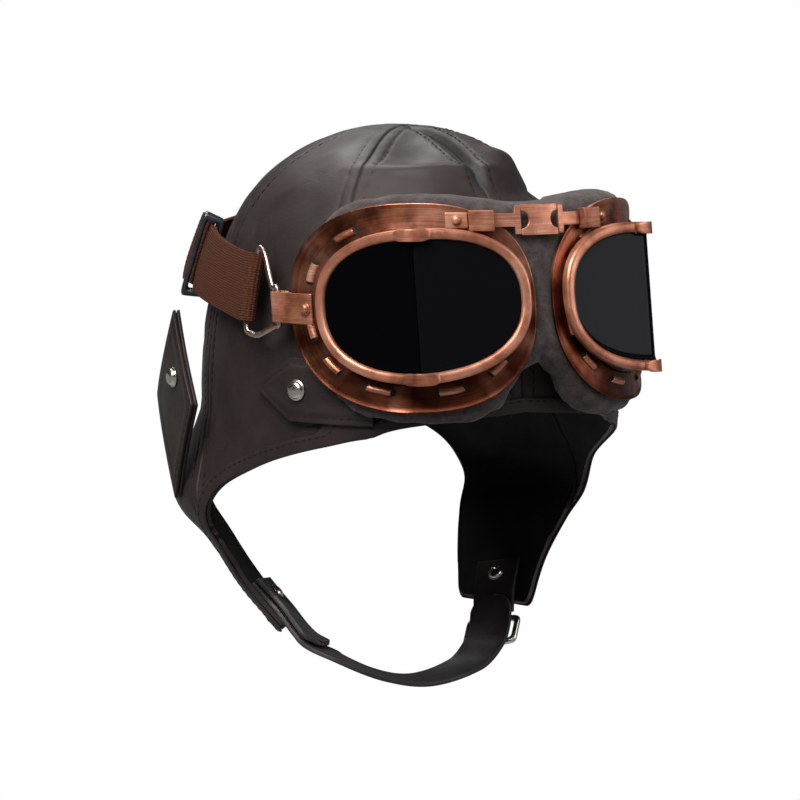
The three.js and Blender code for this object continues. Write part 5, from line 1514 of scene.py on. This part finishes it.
def web_point(along, across, lift):
    """Point on the strap's path: along from the brow's middle, across the web, in mm off the cap."""
    turned = np.degrees(np.asarray(along, float) / HALF_WIDTH)
    azimuth = np.where(turned > 180, turned - 360, turned)
    share = np.minimum(1, np.abs(azimuth) / 180)
    climb = ease(share * 180, WEB_FRONT_AZIMUTH, 180 - WEB_FRONT_AZIMUTH)
    rise = (WEB_BACK_Z - WEB_FRONT_Z) * np.sin(climb * np.pi / 2)
    return on_cap(azimuth, level_of(WEB_FRONT_Z + rise + across), lift)


def fold_gap(azimuth):
    """Room between the strap's two layers, widest where the wire loop lies in the fold."""
    room = LOOP_WIRE * math.sqrt(2) + 2 * GAP + BAR_SAG
    near = max(0, 1 - (abs(azimuth) - WEB_FRONT_AZIMUTH) / FOLD_CLOSES)
    return GAP + (room - GAP) * near**2


def base_lift(azimuth):
    return float(table_value(WEB, np.array(abs(azimuth)), 1)) * WEB_WIDTH + WEB_THICK / 2


def upper_lift(azimuth):
    return base_lift(azimuth) + WEB_THICK + fold_gap(azimuth)


def fold_points(azimuth, sign):
    """The turn of the strap from its lower to its upper layer."""
    radius = (upper_lift(azimuth) - base_lift(azimuth)) / 2
    centre = arc(azimuth if sign > 0 else 360 - azimuth)
    middle = base_lift(azimuth) + radius
    return [(centre - sign * math.sin(turn) * radius, middle + sign * math.cos(turn) * radius)
            for turn in np.linspace(0, math.pi, 17)]


def tail_lift(azimuth):
    """The loose end stands off beyond the slider."""
    loose = max(0, azimuth - SLIDER_AZIMUTH - TAIL_HELD) / (TAIL_AZIMUTH - SLIDER_AZIMUTH - TAIL_HELD)
    return upper_lift(azimuth) + TAIL_STAND * loose


web_line = [(arc(a), tail_lift(a)) for a in np.arange(TAIL_AZIMUTH, WEB_FRONT_AZIMUTH, -1.0)]
web_line += fold_points(WEB_FRONT_AZIMUTH, 1)
web_line += [(arc(a), base_lift(a if a < 180 else a - 360))
             for a in np.arange(WEB_FRONT_AZIMUTH + 1, 360 - WEB_FRONT_AZIMUTH, 1.5)]
web_line += fold_points(WEB_FRONT_AZIMUTH, -1)
web_line += [(arc(360 - a), upper_lift(a))
             for a in np.arange(WEB_FRONT_AZIMUTH + 1, SEWN_AZIMUTH + 1, 1.0)]
web_line = np.array(web_line)
web_steps = lengths_along(web_line)
WEB_LENGTH = web_steps[-1]


def web_place(u, v):
    at = u * WEB_LENGTH
    along, lift = read_line(at, web_steps, web_line).T
    ahead = read_line(at + WEB_LOOK, web_steps, web_line)
    step_along, step_lift = unit(ahead - read_line(at - WEB_LOOK, web_steps, web_line)).T
    out = WEB_THICK / 2 + CORD_HEIGHT * np.abs(np.sin(v * np.pi * CORDS))
    return web_point(along - step_lift * out, (v - 0.5) * WEB_WIDTH, lift + step_along * out)


knit = new_finish("knitted_elastic", (0.075, 0.026, 0.014), 0.9, specular_ior_level=0.1)
KNIT_TONES = [
    (0.3, (0.03, 0.0105, 0.006)), (0.5, (0.063, 0.0215, 0.012)), (0.7, (0.1, 0.036, 0.02)),
]
mottle(knit, 1.0, KNIT_TONES, kind="UV", stretch=(420, 60, 1))
# A wave texture has one wave in this much of its coordinate.
WAVE = 2 * math.pi / 20
COURSE_PITCH = 1.3
WALE_PITCH = 0.9
# Direction, stretch of the coordinate, unevenness, and the strength and depth of the relief.
KNIT_WAVES = [
    ("X", (WEB_LENGTH / COURSE_PITCH * WAVE, 1, 1), 0.6, 0.7, 0.3),
    ("Y", (1, WEB_WIDTH / WALE_PITCH * WAVE, 1), 0.3, 0.6, 0.25),
]
for direction, stretch, uneven, strength, depth in KNIT_WAVES:
    wave = add_node(knit, "ShaderNodeTexWave", Scale=1.0, Distortion=uneven)
    wave.wave_type = "BANDS"
    wave.bands_direction = direction
    wire(knit, coordinates(knit, "UV", stretch), "Vector", wave, "Vector")
    relief(knit, wave, "Fac", strength, depth)

strap = shape_skin("goggle_strap_web", 560, 28, web_place, level_out)
finish_piece(thicken(strap, WEB_THICK, edge=0.3), knit, "strap_web", "goggle_strap")

# Slider, strap loops and temple clips. The strap's end runs back through a black enamelled slider.
# Each fold holds a satin wire loop with hollow sides, and a copper strip riveted to the flange
# is bent round the loop's short side.
SLIDER_WIDTH = 5.5
SLIDER_THICK = 2.4
SLIDER_BACK = 1.6
SLIDER_BOW = 1.6
SLIDER_OVERHANG = 3
LOOP_PLATE = 2.5
LOOP_SHOULDER = 0.36
LOOP_CLEAR = 2.3
CLIP_WIDTH = 12
CLIP_AZIMUTH = 59
CLIP_Z = 50
CLIP_ROOT = 3
CLIP_REACH = 16
CLIP_RETURN = 4
CLIP_THICK = 1
LOOP_ROUNDS = 4
LOOP_CUT = 0.16
black_enamel = new_finish("black_enamel", (0.012, 0.014, 0.02), 0.25, coat_weight=0.6,
                          coat_roughness=0.08)
mottle(black_enamel, 180, [(0.3, (0.008, 0.009, 0.012)), (0.7, (0.022, 0.026, 0.036))])
uneven_gloss(black_enamel, scale=300, low=0.2, high=0.4)
satin = new_finish("satin_loop", (0.58, 0.42, 0.36), 0.3, 1.0)
mottle(satin, 220, [(0.3, (0.42, 0.29, 0.24)), (0.7, (0.66, 0.5, 0.44))])
uneven_gloss(satin, scale=400, low=0.22, high=0.4)

slider_low = base_lift(SLIDER_AZIMUTH) - WEB_THICK / 2 - STACK_GAP
slider_high = upper_lift(SLIDER_AZIMUTH) + WEB_THICK / 2 + STACK_GAP + SLIDER_BOW


def slider_place(turn, across, up):
    """up is the way out from the slot, across the way along the strap."""
    c, s = squared(turn, 9)
    share = (up + 1) / 2
    rise = c * (WEB_WIDTH / 2 + STACK_GAP + SLIDER_OVERHANG * share)
    middle, half = (slider_low + slider_high) / 2, (slider_high - slider_low) / 2
    lift = middle + s * (half + np.where(s > 0, SLIDER_THICK, SLIDER_BACK) * share)
    along = arc(SLIDER_AZIMUTH) + across * SLIDER_WIDTH / 2
    top, bottom = web_point(along, WEB_WIDTH / 2, lift), web_point(along, -WEB_WIDTH / 2, lift)
    return bottom + (top - bottom) * (rise / WEB_WIDTH + 0.5)[:, None]


slider = shape_hoop("strap_slider_frame", 96, 16, slider_place, 3)
finish_piece(slider, black_enamel, "slider_metal", "strap_slider")


def softened(points, rounds, keep):
    """A closed line with its corners cut off again and again."""
    for _ in range(rounds):
        after = np.roll(points, -1, axis=0)
        points = np.stack([points * (1 - keep) + after * keep, points * keep + after * (1 - keep)], 1)
        points = points.reshape(-1, 3)
    return points


for hand, word in SPACE_SIDES:
    normal = face_normal(1, CLIP_AZIMUTH)
    along = np.array([-normal[1], normal[0], 0])
    root = face_point(1, CLIP_AZIMUTH, GOGGLE_CENTRE, FLANGE_THICK / 2 + GAP)
    inside_radius = LOOP_WIRE / math.sqrt(2) + 2 * GAP

    def clip_spot(e, n, z):
        """Point in the clip's own directions: along the strap, off the face, and up."""
        e, n, z = alike(e, n, z)
        point = root + along * e[..., None] + normal * n[..., None]
        return np.stack([hand * point[..., 0], point[..., 1] + LEAN * (CLIP_Z + z - GOGGLE_CENTRE),
                         CLIP_Z + z], -1)

    straight = CLIP_REACH + CLIP_ROOT
    bend = math.pi * inside_radius
    clip_length = straight + bend + CLIP_RETURN

    def clip_place(u, v):
        at = u * clip_length
        turn = ease(at, straight, bend) * math.pi
        radius = inside_radius + CLIP_THICK
        back = np.maximum(at - straight - bend, 0)
        e = np.where(at < straight, at - CLIP_ROOT, CLIP_REACH + np.sin(turn) * radius - back)
        n = np.where(at < straight, CLIP_THICK, -inside_radius + np.cos(turn) * radius)
        return clip_spot(e, n, (v - 0.5) * CLIP_WIDTH)

    clip = shape_skin(f"temple_clip_{word}_strip", 64, 12, clip_place,
                      lambda p: (p - clip_spot(CLIP_REACH, -inside_radius, 0)) * [1, 1, 0])
    finish_piece(thicken(clip, CLIP_THICK, edge=0.25), plate_copper, "copper", f"temple_clip_{word}")
    pressed_cap(f"temple_rivet_{word}_head", clip_spot(0, CLIP_THICK + GAP, 0),
                face_normal(hand, CLIP_AZIMUTH), RIVET_DIAMETER, RIVET_DOME, plate_copper, "copper",
                f"temple_rivet_{word}")

    azimuth = -hand * WEB_FRONT_AZIMUTH
    middle = (base_lift(azimuth) + upper_lift(azimuth)) / 2
    fold = arc(WEB_FRONT_AZIMUTH if hand < 0 else 360 - WEB_FRONT_AZIMUTH)
    strap_top = web_point(fold, WEB_WIDTH / 2, middle)
    strap_bottom = web_point(fold, -WEB_WIDTH / 2, middle)

    def strap_bar(z):
        return strap_top + (strap_bottom - strap_top) * (0.5 - z / WEB_WIDTH)

    def clip_bar(z):
        return clip_spot(CLIP_REACH, -inside_radius, z)

    wide = WEB_WIDTH / 2 + LOOP_WIRE / 2 + LOOP_CLEAR
    narrow = CLIP_WIDTH / 2 + LOOP_WIRE / 2 + 2 * GAP
    axis = unit(clip_bar(0) - strap_bar(0))
    rise = unit(clip_bar(1) - clip_bar(0))
    flat = unit(axis - rise * np.dot(axis, rise))

    def neck(z):
        return clip_bar(z) - flat * (inside_radius + CLIP_THICK + GAP)

    def shoulder(z):
        return strap_bar(z) + (clip_bar(z) - strap_bar(z)) * LOOP_SHOULDER

    loop_line = softened(np.array([
        strap_bar(wide), shoulder(wide), neck(narrow), clip_bar(narrow),
        clip_bar(-narrow), neck(-narrow), shoulder(-wide), strap_bar(-wide),
    ]), LOOP_ROUNDS, LOOP_CUT)
    ahead = unit(np.roll(loop_line, -1, axis=0) - np.roll(loop_line, 1, axis=0))
    thick = unit(np.cross(axis, rise))
    beside = unit(np.cross(ahead, thick))

    def loop_place(turn, across, up):
        i = np.rint(turn * len(loop_line)).astype(int) % len(loop_line)
        return (loop_line[i] + beside[i] * (across * LOOP_PLATE / 2)[:, None]
                + thick * (up * LOOP_WIRE / 2)[:, None])

    loop = shape_hoop(f"strap_loop_{word}_wire", len(loop_line), 14, loop_place, 2.4)
    finish_piece(loop, satin, "loop_metal", f"strap_loop_{word}")

# Chin strap. A near-black leather strap, riveted with a short tab inside the right flap, runs under
# the chin and up through the nickel buckle on the left flap's tab.
STRAP_WIDTH = 20
STRAP_THICK = 2
CHIN_LOW = 116
FLAP_MIDDLE = 113
FLAP_BOW = 1.6
BUCKLE_FROM_END = 36
FREE_END = 10
TAB_UNDER = 44
RIVET_IN = 8
PRONG_WIDTH = 2
PRONG_THICK = 1.2
PRONG_OVER = 0.6
BUCKLE_HEIGHT = 26
BUCKLE_LENGTH = 15
BUCKLE_WIRE = 2.6
# Levels on the flap between which the strap's ends lie flat.
HOLD_TOP = 1.86
HOLD_LOW = 1.97
STRAP_LOOK = 0.4
# How the strap's width leans: sideways with its distance from the middle, and forward throughout.
WIDTH_SIDEWAYS = 0.75
WIDTH_FORWARD = 0.9
DIP_FROM = 26
DIP_LENGTH = 16
END_ROUND = 9
STRAP_CROWN = 0.35
STRAP_SUNK = 0.2
STRAP_EDGE = 0.3
FLAP_RIVET_WIDTH = 0.8
FLAP_RIVET_DOME = 0.6
PRONG_BOW = 0.21
PRONG_TAPER = 0.35
# Across as a share of the flap end's distance, forward of REACH, and low of CHIN_LOW.
CHIN = [
    (-0.93, 0.0, 0.83), (-0.78, -0.14, 0.88), (-0.42, -0.17, 0.955), (0.0, -0.13, 1.0),
    (0.42, -0.075, 0.985), (0.74, -0.01, 0.94), (0.9, 0.06, 0.87),
]
END_LIFT = -LEATHER - STACK_GAP - FLAP_BOW


def flap_end(hand, level):
    """Point inside the flap, for the wearer's right at -1 and left at 1."""
    return on_cap(-hand * FLAP_MIDDLE, level, END_LIFT)


chin_knots = [flap_end(-1, HOLD_TOP), flap_end(-1, HOLD_LOW)]
for x, y, z in CHIN:
    chin_knots.append(np.array([x * flap_end(1, 2)[0], y * REACH, -z * CHIN_LOW]))
chin_knots = np.array(chin_knots + [flap_end(1, HOLD_LOW), flap_end(1, HOLD_TOP)])


def smooth_line(knots, per_span):
    """Points of a curve that passes through the knots, with even sharing at uneven spans."""
    knots = np.concatenate([[2 * knots[0] - knots[1]], knots, [2 * knots[-1] - knots[-2]]])
    points = []
    for p0, p1, p2, p3 in zip(knots, knots[1:], knots[2:], knots[3:]):
        d0, d1, d2 = (np.sum((b - a) ** 2) ** 0.25 for a, b in ((p0, p1), (p1, p2), (p2, p3)))
        t1 = ((p1 - p0) / d0 - (p2 - p0) / (d0 + d1) + (p2 - p1) / d1) * d1
        t2 = ((p2 - p1) / d1 - (p3 - p1) / (d1 + d2) + (p3 - p2) / d2) * d1
        t = np.linspace(0, 1, per_span, endpoint=False)[:, None]
        points.append(p1 + t1 * t + (3 * (p2 - p1) - 2 * t1 - t2) * t**2
                      + (2 * (p1 - p2) + t1 + t2) * t**3)
    return np.concatenate(points + [knots[-2][None]])


chin_line = smooth_line(chin_knots, 60)
chin_steps = lengths_along(chin_line)
chin_length = chin_steps[-1]


def chin_frame(distance):
    """Point, direction, width and outward direction of the strap at a distance along it."""
    distance = np.clip(np.asarray(distance, float), 0, chin_length)
    point = read_line(distance, chin_steps, chin_line)
    beyond = read_line(distance + STRAP_LOOK, chin_steps, chin_line)
    ahead = unit(beyond - read_line(distance - STRAP_LOOK, chin_steps, chin_line))
    lean = point[..., 0] / HALF_WIDTH * WIDTH_SIDEWAYS
    width = square_to(np.stack([lean, 0 * lean - WIDTH_FORWARD, 0 * lean], -1), ahead)
    out = unit(np.cross(ahead, width))
    out = np.where(np.sum(out * point, -1, keepdims=True) < 0, -out, out)
    return point, ahead, width, out


buckle_at = chin_length - BUCKLE_FROM_END


def strap_under(distance):
    """How far the strap dips to run under the left tab."""
    t = ease(distance, buckle_at - DIP_FROM, DIP_LENGTH)
    return -(STRAP_THICK + STACK_GAP) * t * t * (3 - 2 * t)


STRAP_TONES = [
    (0.3, (0.012, 0.009, 0.009)), (0.5, (0.02, 0.016, 0.016)), (0.7, (0.036, 0.029, 0.029)),
]
strap_leather = leather_finish("strap_leather", STRAP_TONES, 0.38, 0.6, pebble=700)


def chin_piece(name, start, end, columns, lift, rounded, node):
    """A length of strap, with its far end rounded off where rounded is set."""
    def place(u, v):
        distance = start + (end - start) * u
        point, _, width, out = chin_frame(distance)
        half = STRAP_WIDTH / 2 + 0 * u
        if rounded:
            left = ease(np.abs(end - start) * (1 - u), 0, END_ROUND)
            half = half * np.sqrt(np.clip(1 - (1 - left) ** 2, 0.02, 1))
        across = v * 2 - 1
        rise = lift(distance) + STRAP_CROWN * (1 - across**4) - STRAP_SUNK
        return point + width * (across * half)[:, None] + out * rise[:, None]

    piece = shape_skin(name, columns, 16, place, lambda points: points * [1, 0, 1])
    thicken(piece, STRAP_THICK - STRAP_EDGE, edge=STRAP_EDGE)
    finish_piece(piece, strap_leather, "strap_leather", node)


RIGHT_TAB_LIFT = -STRAP_THICK - 2 * STACK_GAP
buckle_end = buckle_at + BUCKLE_LENGTH / 2
chin_piece("chin_strap_leather", 0, buckle_end + FREE_END, 220, strap_under, True, "chin_strap")
chin_piece("chin_tab_left_leather", chin_length, buckle_end + 3 * GAP, 40,
           lambda distance: 0 * distance, False, "chin_tab_left")
chin_piece("chin_tab_right_leather", 0, TAB_UNDER, 60,
           lambda distance: 0 * distance + RIGHT_TAB_LIFT, True, "chin_tab_right")

for word, distance, top in (("right", RIVET_IN, RIGHT_TAB_LIFT), ("left", chin_length - RIVET_IN, 0)):
    point, _, _, out = chin_frame(distance)
    pressed_cap(f"flap_rivet_{word}_head", point + out * (top - STRAP_THICK - GAP), -out,
                SNAP_DIAMETER * FLAP_RIVET_WIDTH, SNAP_DOME * FLAP_RIVET_DOME, nickel, "nickel",
                f"flap_rivet_{word}")

buckle_centre, buckle_along, buckle_across, buckle_out = chin_frame(buckle_at)


def buckle_spot(along, across, lift):
    along, across, lift = alike(along, across, lift)
    return (buckle_centre + buckle_along * along[..., None] + buckle_across * across[..., None]
            + buckle_out * lift[..., None])


def buckle_place(turn, across, up):
    c, s = squared(turn, 7)
    inset = BUCKLE_WIRE * (1 - across) / 2
    return buckle_spot(c * (BUCKLE_LENGTH / 2 - inset), s * (BUCKLE_HEIGHT / 2 - inset),
                       -STRAP_THICK + BUCKLE_WIRE * (up + 1) / 2)


finish_piece(shape_hoop("buckle_frame_ring", 120, 14, buckle_place, 2.4), nickel, "nickel", "buckle_frame")


def prong_place(u, v):
    along = (u * 2 - 1) * (BUCKLE_LENGTH / 2 + PRONG_OVER)
    top = BUCKLE_WIRE - STRAP_THICK + GAP + PRONG_THICK
    bow = PRONG_BOW * (1 - (u * 2 - 1) ** 2)
    return buckle_spot(along, (v - 0.5) * PRONG_WIDTH * (1 - PRONG_TAPER * u), top + bow)


prong = shape_skin("buckle_prong_pin", 24, 6, prong_place, lambda points: 0 * points + buckle_out)
finish_piece(thicken(prong, PRONG_THICK, edge=0.3), nickel, "nickel", "buckle_prong")

low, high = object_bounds()
